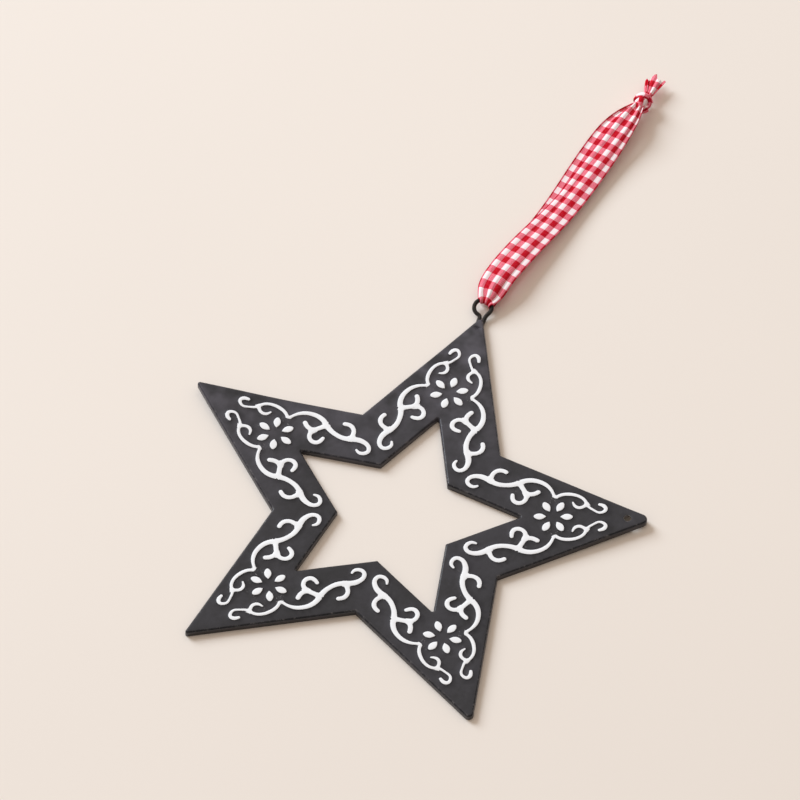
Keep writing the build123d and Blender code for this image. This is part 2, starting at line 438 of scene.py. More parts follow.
@dataclass(frozen=True)
class Gingham:
    """Woven red and white check with red edges."""

    deep: Colour = srgb(196, 0, 30)
    middle: Colour = srgb(228, 84, 108)
    light_middle: Colour = srgb(248, 176, 188)
    white: Colour = srgb(250, 234, 238)
    edge: Colour = srgb(168, 16, 44)
    period: float = 5.25
    first_row: float = 0.4
    thread: float = 0.36
    columns: tuple[float, float, float] = (0.95, 2.85, 4.7)
    selvage: float = 4.95
    soft: float = 0.06
    selvage_soft: float = 0.05
    row_start: float = 0.25
    row_share: float = 0.5
    row_soft: float = 0.02
    fuzz_size: float = 0.5
    roughness: float = 0.72
    shine: float = 0.12
    bump_depth: float = 0.08

    def material(self) -> bpy.types.Material:
        """Builds the check from the cloth's own across and along values, in millimetres."""
        s = Shader("gingham")
        across, along = s.attribute("across"), s.attribute("along")
        side = across.math("ABSOLUTE")
        soft, (first, second, third) = self.soft, self.columns
        warp = side.between(first - soft, first + soft) * side.between(second + soft, second - soft)
        warp = warp.math("MAXIMUM", side.between(third - soft, third + soft))
        turn = ((along - self.first_row) / self.period + self.row_start).math("FRACT")
        weft = turn.between(0.0, self.row_soft) * turn.between(self.row_share + self.row_soft, self.row_share)
        warp_thread = (across * (math.pi / self.thread)).math("SINE").math("ABSOLUTE")
        weft_thread = (along * (math.pi / self.thread)).math("SINE").math("ABSOLUTE")
        fuzz = s.noise(self.fuzz_size, 3)
        lines = (warp * (1 - warp_thread) + weft * (1 - weft_thread)) * (0.5 + fuzz * 0.8)
        one = s.blend(lines.between(0.25, 0.75), self.middle, self.light_middle)
        cloth = s.blend(warp.math("MAXIMUM", weft), self.white, one)
        cloth = s.blend(warp * weft * (0.82 + fuzz * 0.3).math("MINIMUM", 1.0), cloth, self.deep)
        rim = side.between(self.selvage - self.selvage_soft, self.selvage + self.selvage_soft)
        cloth = s.blend(rim * (0.45 + 0.5 * weft), cloth, self.edge)
        height = warp_thread * 0.4 + weft_thread * 0.4 + fuzz * 0.3
        rough, normal = self.roughness + fuzz * 0.2, s.bump(height, self.bump_depth, 0.7)
        return s.dress({"Base Color": cloth, "Roughness": rough, "Specular IOR Level": self.shine,
                        "Normal": normal})


def natural_spline(points: np.ndarray, spacing: float) -> tuple[np.ndarray, np.ndarray]:
    """Smooth curve through points.

    Args:
        points: The points, one a row.
        spacing: Distance between the samples.

    Returns:
        Samples along the curve, and for each its place counted in given points.
    """
    knots = np.r_[0.0, np.cumsum(np.linalg.norm(np.diff(points, axis=0), axis=1))]
    count = len(points)
    run = np.diff(knots)
    system = np.eye(count)
    slopes = np.zeros_like(points)
    for k in range(1, count - 1):
        system[k, k - 1:k + 2] = run[k - 1], 2 * (run[k - 1] + run[k]), run[k]
        slopes[k] = 6 * ((points[k + 1] - points[k]) / run[k] - (points[k] - points[k - 1]) / run[k - 1])
    bend = np.linalg.solve(system, slopes)
    at = np.linspace(0, knots[-1], max(2, round(knots[-1] / spacing) + 1))
    k = np.clip(np.searchsorted(knots, at, side="right") - 1, 0, count - 2)
    h, a, b = run[k][:, None], (knots[k + 1] - at)[:, None], (at - knots[k])[:, None]
    curve = (bend[k] * a**3 + bend[k + 1] * b**3) / (6 * h)
    curve += (points[k] / h - bend[k] * h / 6) * a + (points[k + 1] / h - bend[k + 1] * h / 6) * b
    return curve, np.interp(at, knots, np.arange(count))


def smooth_step(values: np.ndarray, low: float, high: float) -> np.ndarray:
    """Smooth step from 0 at low to 1 at high."""
    share = np.clip((values - low) / (high - low), 0.0, 1.0)
    return share * share * (3 - 2 * share)


@dataclass
class Soup:
    """Loose faces in millimetres: x, y, z and the values kept for each corner."""

    columns: tuple[str, ...]
    faces: list[np.ndarray] = field(default_factory=list)

    def add(self, corners: np.ndarray) -> None:
        """Adds faces, given as an array of face, corner and column."""
        if len(corners):
            self.faces.append(corners)

    def placed(self, turn: float, mirrored: bool) -> list[np.ndarray]:
        """Faces turned about the star's centre.

        Args:
            turn: Degrees clockwise.
            mirrored: Whether left and right change places first.

        Returns:
            The faces.
        """
        c, s = math.cos(math.radians(turn)), math.sin(math.radians(turn))
        placed = []
        for faces in self.faces:
            moved = faces.copy()
            if mirrored:
                moved[..., 0] *= -1
                moved = moved[:, ::-1]
            x, y = moved[..., 0].copy(), moved[..., 1].copy()
            moved[..., 0], moved[..., 1] = c * x + s * y, c * y - s * x
            placed.append(moved)
        return placed

    def mesh(self, name: str, weld: float = 0.002) -> bpy.types.Mesh:
        """Welds the faces into one mesh.

        Args:
            name: Name of the mesh.
            weld: Corners nearer than this are one point.

        Returns:
            The mesh, with the further columns as point values.
        """
        rows = np.concatenate([faces.reshape(-1, faces.shape[-1]) for faces in self.faces])
        keys = np.round(rows[:, :3] / weld).astype(np.int64)
        _, first, index = np.unique(keys, axis=0, return_index=True, return_inverse=True)
        index = index.reshape(-1)
        polygons, start = [], 0
        for faces in self.faces:
            count, corners = faces.shape[:2]
            block = index[start:start + count * corners].reshape(count, corners)
            start += count * corners
            whole = np.all(np.diff(np.sort(block, axis=1), axis=1) > 0, axis=1)
            polygons += block[whole].tolist()
        mesh = bpy.data.meshes.new(name)
        mesh.from_pydata((rows[first, :3] * MM).tolist(), [], polygons)
        mesh.validate()
        for number, column in enumerate(self.columns, start=3):
            values = mesh.attributes.new(column, "FLOAT", "POINT")
            values.data.foreach_set("value", rows[first, number].astype(np.float32))
        return mesh


@dataclass
class Piece:
    """One finished object and where it belongs."""

    name: str
    mesh: bpy.types.Mesh
    material: bpy.types.Material
    finish: Finish
    body: Body
    nodes: tuple[str, ...]
    sharp: float = 40.0

    def place(self) -> bpy.types.Object:
        """Makes the object, gives it to its body and hides the nodes that it stands for.

        Returns:
            The object.
        """
        self.mesh.materials.clear()
        self.mesh.materials.append(self.material)
        self.mesh.polygons.foreach_set("use_smooth", [True] * len(self.mesh.polygons))
        self.mesh.set_sharp_from_angle(angle=math.radians(self.sharp))
        made = bpy.data.objects.new(self.name, self.mesh)
        bpy.context.scene.collection.objects.link(made)
        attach(made, self.body.value)
        if self.nodes:
            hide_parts(*self.nodes)
        self.mesh.calc_loop_triangles()
        log.info("%s: %d triangles", self.name, len(self.mesh.loop_triangles))
        return made


@dataclass(frozen=True)
class ScrollPattern:
    """Scrollwork and flower of one arm: ridges in the tin, each with its enamel."""

    unit: float
    tip_radius: float
    half_tip: float
    petal_count: int = 6
    petal_length: float = 4.0
    petal_width: float = 2.3
    petal_fullness: float = 0.85
    petal_inset: float = 2.3
    flower_depth: float = 1.79
    margin: float = 0.05
    web: float = 0.9
    spacing: float = 0.45
    centre_level: float = -1.0
    least_reach: float = 0.05
    end_points: int = 7

    # Stroke by stroke: points down from the tip in widths of the pattern, out from the arm's centre line in
    # the arm's half widths one pattern width below the tip, and the stroke's width there
    strokes = (
        ((1.77, 0.82, 1.1), (1.67, 0.96, 1.2), (1.52, 1.01, 1.3), (1.35, 0.93, 1.15), (1.237, 0.727, 1.1),
         (1.184, 0.489, 1.0), (1.08, 0.31, 0.8), (0.97, 0.21, 0.95), (0.872, 0.377, 1.3),
         (0.903, 0.507, 1.45), (0.98, 0.575, 1.1)),
        ((1.77, 0.82, 1.0), (1.82, 1.13, 1.1), (1.91, 1.38, 1.45), (2.05, 1.55, 1.6), (2.185, 1.605, 1.75),
         (2.34, 1.54, 1.85), (2.47, 1.415, 1.85), (2.63, 1.36, 1.65), (2.77, 1.39, 1.75), (2.91, 1.53, 1.9),
         (3.03, 1.68, 2.0), (3.15, 1.725, 1.7), (3.26, 1.66, 1.5), (3.31, 1.485, 1.45), (3.265, 1.30, 1.4),
         (3.19, 1.24, 1.2), (3.13, 1.28, 0.85)),
        ((1.20, 0.58, 1.1), (1.258, 0.477, 1.15), (1.33, 0.415, 1.2), (1.41, 0.48, 1.15),
         (1.45, 0.645, 0.65)),
        ((2.39, 1.46, 1.7), (2.335, 1.24, 1.65), (2.28, 1.01, 1.65), (2.27, 0.805, 1.55),
         (2.32, 0.635, 1.45), (2.40, 0.575, 1.6), (2.48, 0.645, 1.55), (2.51, 0.805, 1.5),
         (2.51, 0.93, 1.3)),
        ((2.28, 1.0, 1.6), (2.185, 0.98, 1.65), (2.12, 1.01, 1.65), (2.06, 1.08, 1.6)),
        ((2.90, 1.53, 1.6), (2.885, 1.73, 1.6), (2.84, 1.91, 1.5), (2.755, 2.01, 1.6), (2.685, 2.0, 1.55),
         (2.63, 1.945, 1.5)),
    )

    def point(self, depth: float, across: float) -> np.ndarray:
        """Place of a pattern point on the arm along +Y."""
        return np.array([across * self.unit * math.tan(self.half_tip), self.tip_radius - depth * self.unit])

    def stroke_lines(self) -> list[tuple[np.ndarray, np.ndarray]]:
        """Centre line and half width of every stroke.

        Returns:
            Points and half widths, one pair a stroke.
        """
        lines = []
        for places in self.strokes:
            points = np.array([self.point(depth, across) for depth, across, _ in places])
            widths = [width for _, _, width in places]
            curve, at = natural_spline(points, self.spacing)
            lines.append((curve, np.interp(at, range(len(widths)), widths) / 2 - self.margin))
        return lines

    def flower_centre(self) -> np.ndarray:
        """Middle of the flower."""
        return self.point(self.flower_depth, 0)

    def petal(self, grow: float, spacing: float) -> np.ndarray:
        """Outline of the petal along +X, from its inner point round.

        Args:
            grow: Added to its length and width.
            spacing: Distance between the points.

        Returns:
            The points, the first not repeated.
        """
        inner = self.petal_inset - grow / 2
        outer = self.petal_inset + self.petal_length + grow / 2
        near, far = inner + (outer - inner) / 3, outer - (outer - inner) / 4
        half = self.petal_fullness * (self.petal_width + grow) / 2
        corners = np.array([(inner, 0), (near, half), (far, half), (outer, 0), (far, -half), (near, -half),
                            (inner, 0)])
        return natural_spline(corners, spacing)[0][:-1]

    def petal_outlines(self, grow: float, spacing: float) -> list[np.ndarray]:
        """Outlines of all petals at their places on the arm.

        Args:
            grow: As for petal.
            spacing: As for petal.

        Returns:
            One outline a petal.
        """
        outlines = []
        for number in range(self.petal_count):
            turn = (number + 0.5) * 2 * math.pi / self.petal_count
            c, s = math.cos(turn), math.sin(turn)
            outlines.append(self.petal(grow, spacing) @ np.array([[c, s], [-s, c]]) + self.flower_centre())
        return outlines

    def scroll_distance(self, plan: np.ndarray) -> np.ndarray:
        """Distance from plan points to the edge of the scroll, below zero on it.

        Args:
            plan: Points on the right half of the arm.

        Returns:
            The distances.
        """
        best = np.full(len(plan), FAR_OFF)
        for curve, half in self.stroke_lines():
            start, along = curve[:-1], np.diff(curve, axis=0)
            length = np.einsum("ij,ij->i", along, along)
            offset = plan[:, None] - start[None]
            share = np.clip(np.einsum("nij,ij->ni", offset, along) / length, 0, 1)
            gap = np.linalg.norm(offset - share[..., None] * along, axis=2)
            gap -= half[:-1] + share * np.diff(half)
            gap = gap.min(axis=1)
            meeting = np.clip(1 - np.abs(best - gap) / self.web, 0, 1)
            best = np.minimum(best, gap) - meeting**2 * self.web / 4
        return best

    def petal_distance(self, plan: np.ndarray) -> np.ndarray:
        """Distance from plan points to the edge of the nearest petal, below zero on it.

        Args:
            plan: Points on the arm.

        Returns:
            The distances.
        """
        best = np.full(len(plan), FAR_OFF)
        for outline in self.petal_outlines(0, self.spacing / 2):
            after = np.roll(outline, -1, axis=0)
            along = after - outline
            offset = plan[:, None] - outline[None]
            length = np.einsum("ij,ij->i", along, along)
            share = np.clip(np.einsum("nij,ij->ni", offset, along) / length, 0, 1)
            gap = np.linalg.norm(offset - share[..., None] * along, axis=2).min(axis=1)
            rises = (outline[:, 1] <= plan[:, None, 1]) != (after[:, 1] <= plan[:, None, 1])
            steep = np.where(np.abs(along[:, 1]) < TINY, TINY, along[:, 1])
            crossing = outline[:, 0] + (plan[:, None, 1] - outline[:, 1]) / steep * along[:, 0]
            inside = ((plan[:, None, 0] < crossing) & rises).sum(axis=1) % 2 == 1
            best = np.minimum(best, np.where(inside, -gap, gap))
        return best

    def distance(self, plan: np.ndarray) -> np.ndarray:
        """Distance to the nearest edge of the whole pattern, below zero on it."""
        return np.minimum(self.scroll_distance(plan), self.petal_distance(plan))

    def contours(self, levels: Sequence[float]) -> list[tuple[np.ndarray, bool, float]]:
        """Lines beside every stroke and petal.

        Args:
            levels: Distances from the edges.

        Returns:
            Points, whether they close, and the level of each line.
        """
        lines = []
        for curve, half in self.stroke_lines():
            lines.append((curve, False, self.centre_level))
            along = np.gradient(curve, axis=0)
            along /= np.linalg.norm(along, axis=1)[:, None]
            side = np.stack([-along[:, 1], along[:, 0]], axis=1)
            for level in levels:
                reach = half + level
                if reach.min() < self.least_reach:
                    continue
                left, right = curve + side * reach[:, None], curve - side * reach[:, None]
                turns = np.linspace(0, math.pi, self.end_points)[1:-1, None]
                end = curve[-1] + reach[-1] * (side[-1] * np.cos(turns) + along[-1] * np.sin(turns))
                start = curve[0] - reach[0] * (side[0] * np.cos(turns) + along[0] * np.sin(turns))
                lines.append((np.concatenate([left, end, right[::-1], start]), True, level))
        for level in levels:
            lines += [(outline, True, level) for outline in self.petal_outlines(2 * level, self.spacing)]
        return lines


class PlanCut:
    """Lines and points of a plan, to be cut into triangles along the lines."""

    tolerance = 1e-5

    def __init__(self) -> None:
        """Starts with nothing."""
        self.points: list[np.ndarray] = []
        self.edges: list[tuple[int, int]] = []
        self.total = 0

    def add(self, line: np.ndarray, closed: bool = False, keep: np.ndarray | None = None) -> None:
        """Adds a line of points and its edges.

        Args:
            line: The points.
            closed: Whether the last is joined to the first.
            keep: Points whose edges stay; all of them when left out.
        """
        count = len(line)
        for k in range(count if closed else count - 1):
            after = (k + 1) % count
            if keep is None or keep[k] or keep[after]:
                self.edges.append((self.total + k, self.total + after))
        self.points.append(line)
        self.total += count

    def triangles(self, loose: np.ndarray, least_area: float) -> tuple[np.ndarray, np.ndarray]:
        """Cuts the plan.

        Args:
            loose: Further points, on no line.
            least_area: Twice the area of the smallest triangle that stays.

        Returns:
            Plan points and triangles.
        """
        plan = np.concatenate([*self.points, loose])
        used = np.zeros(len(plan), bool)
        used[np.array(self.edges).ravel()] = True
        used[self.total:] = True
        number = np.cumsum(used) - 1
        edges = [(int(number[a]), int(number[b])) for a, b in self.edges]
        cut = delaunay_2d_cdt([Vector(p) for p in plan[used]], edges, [], 0, self.tolerance, False)
        plan, triangles = np.array([tuple(p) for p in cut[0]]), np.array(cut[2])
        corners = plan[triangles]
        first, second = corners[:, 1] - corners[:, 0], corners[:, 2] - corners[:, 0]
        real = np.abs(first[:, 0] * second[:, 1] - first[:, 1] * second[:, 0]) > least_area
        return plan, triangles[real]


@dataclass(frozen=True)
class TinStar:
    """Star of pressed tin: face, folded edges, ridges under the enamel, rim gap and punched hole."""

    centre: tuple[float, float]
    arm_count: int = 5
    tip_radius: float = 83.0
    notch_radius: float = 40.4
    limb_width: float = 18.4
    eye_tip_rounding: float = 1.0
    hole_tip_rounding: float = 2.0
    lower_tip_rounding: float = 1.5
    left_tip_rounding: float = 0.8
    opening_rounding: float = 0.4
    sheet: float = 0.4
    rim_height: float = 2.2
    fold_radius: float = 0.8
    hole_arm_lift: float = 0.9
    left_arm_lift: float = 1.7
    bend_start: float = 38.0
    bend_power: float = 1.5
    hole_radius: float = 1.2
    hole_inset: float = 9.0
    # Width of the bare ring round the hole, which is also its painted rim highlight
    hole_bare_and_highlight: float = 0.12
    hole_sink: float = 0.12
    hole_sink_width: float = 0.4
    relief: float = 0.15
    slope: float = 0.3
    slope_start: float = 0.04
    groove_narrower: float = 0.35
    enamel: float = 0.1
    enamel_root: float = 0.05
    enamel_edge: float = 0.2
    enamel_crown: float = 0.16
    petal_spacing: float = 0.32
    rim_gap: float = 1.7
    rim_gap_sink: float = 0.02
    least_area: float = 4e-4
    grid: float = 2.2
    waviness: float = 0.10
    wave_floor: float = 0.5
    cross_wave: float = 0.6
    dent_below_tip: float = 5.2
    dent_depth: float = 0.42
    dent_length: float = 0.45
    dent_width: float = 1.3
    fold_steps: int = 7
    notch_cuts: int = 15
    middle_cuts: int = 41
    line_inset: float = 0.75
    line_overlap: float = 0.6
    line_slack: float = 0.03
    grid_inset: float = 1.0
    grid_clear: float = 0.5
    grid_reach: float = 1.4
    away: float = 5.0
    tip_points: int = 9
    edge_points: int = 34
    hole_points: int = 21
    hole_chord: float = 0.99

    near_tip = (0.02, 0.05, 0.08, 0.11)
    dent_grid = ((0.15, 2.0, 0.3), (-1.2, 1.21, 0.2))
    wave_lengths = (9.1, 11.3, 6.3)
    wave_starts = (0.6, -0.4, 1.9)
    face_levels = (-0.25, 0.0, 0.1, 0.2, 0.34)
    back_levels = (-0.35, 0.3)
    hole_rings = (0.0, 0.12, 0.26, 0.4)
    # Distance in from a petal's edge, and the height there as a share of the enamel's thickness
    petal_crown = ((0.0, 0.2), (0.18, 0.72), (0.5, 0.95))

    @property
    def step(self) -> float:
        """Degrees from arm to arm."""
        return 360 / self.arm_count

    @property
    def half_step(self) -> float:
        """Half of that, in radians."""
        return math.pi / self.arm_count

    @property
    def half_tip(self) -> float:
        """Half of the angle of a tip, in radians."""
        across = self.notch_radius * math.sin(self.half_step)
        return math.atan2(across, self.tip_radius - self.notch_radius * math.cos(self.half_step))

    @property
    def outer_edge(self) -> float:
        """Distance from the centre to the line of an outer edge."""
        return self.tip_radius * math.sin(self.half_tip)

    @property
    def inner_edge(self) -> float:
        """Distance from the centre to the line of an edge of the opening."""
        return self.outer_edge - self.limb_width

    @property
    def pattern(self) -> ScrollPattern:
        """Pattern of one arm."""
        return ScrollPattern(self.limb_width, self.tip_radius, self.half_tip)

    def kind(self, arm: int) -> ArmKind:
        """What sits at the tip of an arm, counted clockwise from the eye."""
        return {0: ArmKind.EYE, 1: ArmKind.HOLE, 2: ArmKind.LOWER}.get(arm, ArmKind.LEFT)

    def rounding(self, kind: ArmKind) -> float:
        """Radius of an arm's tip."""
        return {ArmKind.EYE: self.eye_tip_rounding, ArmKind.HOLE: self.hole_tip_rounding,
                ArmKind.LOWER: self.lower_tip_rounding, ArmKind.LEFT: self.left_tip_rounding}[kind]

    def edge_line(self, inset: float, outer: bool, kind: ArmKind) -> np.ndarray:
        """Line at a distance from an edge, from the arm's centre line to the line between two arms.

        Args:
            inset: Distance from the edge, into the tin.
            outer: Whether it is the outer edge or the opening's.
            kind: Kind of arm.

        Returns:
            Points, the same count for every inset.
        """
        line = self.outer_edge - inset if outer else self.inner_edge + inset
        round_off = self.rounding(kind) if outer else self.opening_rounding
        radius = round_off - inset if outer else round_off + inset
        edge = self.outer_edge if outer else self.inner_edge
        middle = (edge - round_off) / math.sin(self.half_tip)
        turns = np.linspace(math.pi / 2, self.half_tip, self.tip_points)
        arc = np.stack([radius * np.cos(turns), middle + radius * np.sin(turns)], axis=1)
        reach = line / math.sin(self.half_step + self.half_tip)
        end = np.array([reach * math.sin(self.half_step), reach * math.cos(self.half_step)])
        shares = np.r_[self.near_tip[:-1], np.linspace(self.near_tip[-1], 1, self.edge_points)]
        return np.concatenate([arc, arc[-1] + shares[:, None] * (end - arc[-1])])

    def edge_distance(self, plan: np.ndarray, kind: ArmKind) -> np.ndarray:
        """Distance into the tin from its nearest edge.

        Args:
            plan: Points on the right half of an arm.
            kind: Kind of arm.

        Returns:
            The distances, below zero off the tin.
        """
        outward = np.array([math.cos(self.half_tip), math.sin(self.half_tip)])
        along = np.array([outward[1], -outward[0]])
        distances = []
        for edge, round_off, sign in ((self.outer_edge, self.rounding(kind), 1),
                                      (self.inner_edge, self.opening_rounding, -1)):
            flat = sign * (edge - plan @ outward)
            offset = plan - np.array([0, (edge - round_off) / math.sin(self.half_tip)])
            turned = sign * (round_off - np.linalg.norm(offset, axis=1))
            distances.append(np.where((offset @ along < 0) & (offset @ outward > 0), turned, flat))
        return np.minimum(*distances)

    def on_half_arm(self, plan: np.ndarray, kind: ArmKind, inset: float = 0.0) -> np.ndarray:
        """Which plan points lie on the right half of an arm.

        Args:
            plan: The points.
            kind: Kind of arm.
            inset: Least distance from the edges.

        Returns:
            One truth value a point.
        """
        inside = self.edge_distance(plan, kind) > inset
        inside &= (plan[:, 0] > 0) & (plan[:, 0] < plan[:, 1] * math.tan(self.half_step))
        if kind is ArmKind.HOLE:
            inside &= np.linalg.norm(plan - self.hole_centre, axis=1) > self.hole_radius * self.hole_chord
        return inside

    @property
    def hole_centre(self) -> np.ndarray:
        """Middle of the punched hole on its arm."""
        return np.array([0.0, self.tip_radius - self.hole_inset])

    def hole_ring(self, grow: float = 0.0) -> np.ndarray:
        """Right half of a ring at a distance from the hole's edge, from the top down."""
        turns = np.linspace(math.pi / 2, -math.pi / 2, self.hole_points)
        around = np.stack([np.cos(turns), np.sin(turns)], axis=1)
        return self.hole_centre + (self.hole_radius + grow) * around

    def ridge(self, distance: np.ndarray) -> np.ndarray:
        """Height of the relief beside the pattern, 1 on it."""
        return 1 - smooth_step(distance, self.slope_start, self.slope_start + self.slope)

    def fold_drop(self, edge: np.ndarray) -> np.ndarray:
        """How far the fold lies below the face."""
        left = np.clip(self.fold_radius - edge, 0, self.fold_radius)
        return self.fold_radius - np.sqrt(self.fold_radius**2 - left**2)

    def face_rows(self, plan: np.ndarray, kind: ArmKind) -> np.ndarray:
        """Points of the face with height, edge distance, pattern distance and bareness, which round the hole
        is also a painted rim highlight.

        Args:
            plan: Points on the right half of an arm.
            kind: Kind of arm.

        Returns:
            One row a point.
        """
        edge, distance = self.edge_distance(plan, kind), self.pattern.distance(plan)
        edge = np.maximum(edge, 0)
        height = self.rim_height + self.relief * self.ridge(distance) - self.fold_drop(edge)
        bare_and_rim_highlight = np.zeros(len(plan))
        if kind is ArmKind.EYE:
            below = plan[:, 1] - (self.tip_radius - self.dent_below_tip)
            spread = (below / self.dent_length) ** 2 + (plan[:, 0] / self.dent_width) ** 2
            height -= self.dent_depth * np.exp(-spread)
        if kind is ArmKind.HOLE:
            gap = np.linalg.norm(plan - self.hole_centre, axis=1) - self.hole_radius
            bare_and_rim_highlight = 1 - smooth_step(gap, 0.0, self.hole_bare_and_highlight)
            height -= self.hole_sink * (1 - smooth_step(gap, 0.0, self.hole_sink_width))
        return np.column_stack([plan, height, edge, distance, bare_and_rim_highlight])

    def back_rows(self, plan: np.ndarray) -> np.ndarray:
        """Points of the underside in the same columns, with the grooves of the ridges."""
        distance = self.pattern.distance(plan)
        height = self.rim_height - self.sheet + self.relief * self.ridge(distance + self.groove_narrower)
        far = np.full(len(plan), self.away)
        return np.column_stack([plan, height, far, far, 0 * far])

    def grid_points(self, kind: ArmKind, pitch: float, clear: float) -> np.ndarray:
        """Points spread over the plain parts of the face.

        Args:
            kind: Kind of arm.
            pitch: Distance from point to point.
            clear: Distance that they keep from the pattern.

        Returns:
            The points.
        """
        x, y = np.meshgrid(np.arange(pitch / 2, self.limb_width * self.grid_reach, pitch),
                           np.arange(self.inner_edge, self.tip_radius, pitch))
        x[1::2] += pitch / 2
        plan = np.stack([x.ravel(), y.ravel()], axis=1)
        if kind is ArmKind.EYE:
            middle = self.tip_radius - self.dent_below_tip
            across, down = (np.arange(*steps) for steps in self.dent_grid)
            dent = np.meshgrid(across, middle + down)
            plan = np.concatenate([plan, np.stack(dent, axis=-1).reshape(-1, 2)])
        plan = plan[self.on_half_arm(plan, kind, self.grid_inset)]
        return plan[self.pattern.distance(plan) > clear]

    def half_arm_plan(self, kind: ArmKind, levels: Sequence[float], insets: Sequence[float],
                      pitch: float) -> tuple[np.ndarray, np.ndarray]:
        """Cuts the right half of an arm into triangles along its edges and its pattern.

        Args:
            kind: Kind of arm.
            levels: Distances from the pattern's edges at which lines run.
            insets: Distances from the tin's edges at which lines run, the first is the border.
            pitch: Distance between the points in between.

        Returns:
            Plan points and triangles.
        """
        cut = PlanCut()
        for inset in insets:
            for outside in (True, False):
                cut.add(self.edge_line(inset, outside, kind))
        outer, inner = (self.edge_line(insets[0], outside, kind) for outside in (True, False))
        for end, count in ((-1, self.notch_cuts), (0, self.middle_cuts)):
            cut.add(outer[end] + np.linspace(0, 1, count)[:, None] * (inner[end] - outer[end]))
        if kind is ArmKind.HOLE:
            for grow in self.hole_rings:
                cut.add(self.hole_ring(grow))
        for line, closed, level in self.pattern.contours(levels):
            keep = self.edge_distance(np.abs(line), kind) > self.line_inset
            keep &= line[:, 0] > -self.line_overlap
            if level > self.pattern.centre_level:
                keep &= self.pattern.distance(line) > level - self.line_slack
            if keep.any():
                cut.add(line, closed, keep)
        loose = self.grid_points(kind, pitch, max(levels) + self.grid_clear)
        plan, triangles = cut.triangles(loose, self.least_area)
        return plan, triangles[self.on_half_arm(plan[triangles].mean(axis=1), kind, insets[0])]

    def rim_bottom(self, kind: ArmKind, border: np.ndarray) -> np.ndarray:
        """Height of the rim's lower edge: the floor, but higher in the gap for the eye's legs."""
        if kind is not ArmKind.EYE:
            return np.zeros(len(border))
        gap_top = self.rim_height - self.fold_radius - self.rim_gap_sink
        return np.where(border[:, 0] < self.rim_gap, gap_top, 0.0)

    def half_arm(self, kind: ArmKind) -> tuple[Soup, tuple[np.ndarray, np.ndarray]]:
        """Tin of the right half of an arm, closed all round but at the two cuts.

        Args:
            kind: Kind of arm.

        Returns:
            The faces, and the plan of the face with its triangles.
        """
        soup = Soup(("edge", "pattern", "bare_and_rim_highlight"))
        turns = np.linspace(0, math.pi / 2, self.fold_steps)
        insets = self.fold_radius * (1 - np.cos(turns))
        plan, triangles = self.half_arm_plan(kind, self.face_levels, insets, self.grid)
        soup.add(self.face_rows(plan, kind)[triangles])
        back, under = self.half_arm_plan(kind, self.back_levels, (self.sheet,), 2 * self.grid)
        soup.add(self.back_rows(back)[under][:, ::-1])
        for outer in (True, False):
            border = self.edge_line(0, outer, kind)
            inside = self.edge_line(self.sheet, outer, kind)
            low = self.rim_bottom(kind, border) if outer else np.zeros(len(border))
            wall = np.column_stack([0 * low, self.away + 0 * low, 0 * low])
            rings = [self.face_rows(border, kind), np.column_stack([border, low, wall]),
                     np.column_stack([inside, low, wall]), self.back_rows(inside)]
            for upper, lower in zip(rings, rings[1:]):
                quads = np.stack([upper[:-1], upper[1:], lower[1:], lower[:-1]], axis=1)
                soup.add(quads if outer else quads[:, ::-1])
        if kind is ArmKind.HOLE:
            ring = self.hole_ring()
            upper, lower = self.face_rows(ring, kind), self.back_rows(ring)
            soup.add(np.stack([upper[:-1], lower[:-1], lower[1:], upper[1:]], axis=1)[:, ::-1])
        return soup, (plan, triangles)

    def settle(self, faces: list[np.ndarray]) -> list[np.ndarray]:
        """Gives the sheet its slight waves and bent arms and moves it to its place in the frame.

        Args:
            faces: Faces about the star's centre.

        Returns:
            The same faces, moved.
        """
        for block in faces:
            x, y, z = block[..., 0], block[..., 1], block[..., 2]
            block[..., 2] += self.wave(x, y) * np.clip(z - self.wave_floor, 0, 1) + self.lift(x, y)
            block[..., 0] += self.centre[0]
            block[..., 1] += self.centre[1]
        return faces

    def wave(self, x: np.ndarray, y: np.ndarray) -> np.ndarray:
        """Height of the sheet's waves at places about the star's centre."""
        (wide, deep, slant), (first, second, third) = self.wave_lengths, self.wave_starts
        broad = np.sin(x / wide + first) * np.cos(y / deep + second)
        return self.waviness * (broad + self.cross_wave * np.sin((x + y) / slant + third))

    def lift(self, x: np.ndarray, y: np.ndarray) -> np.ndarray:
        """How far the right and the upper left arm are bent up, at places about the star's centre."""
        step = 2 * math.pi / self.arm_count
        risen = np.zeros_like(x)
        for turns, most in ((-1, self.hole_arm_lift), (1, self.left_arm_lift)):
            heading = math.pi / 2 + turns * step
            along = x * math.cos(heading) + y * math.sin(heading)
            share = np.clip(along - self.bend_start, 0, None) / (self.tip_radius - self.bend_start)
            risen += most * share**self.bend_power
        return risen

    def settle_mesh(self, mesh: bpy.types.Mesh) -> None:
        """Lays a finished mesh on the waves and bent arms of the sheet."""
        places = np.empty(3 * len(mesh.vertices), np.float32)
        mesh.vertices.foreach_get("co", places)
        places = places.reshape(-1, 3)
        x, y = (places[:, axis] / MM - self.centre[axis] for axis in range(2))
        places[:, 2] += (self.wave(x, y) + self.lift(x, y)) * MM
        mesh.vertices.foreach_set("co", places.ravel())

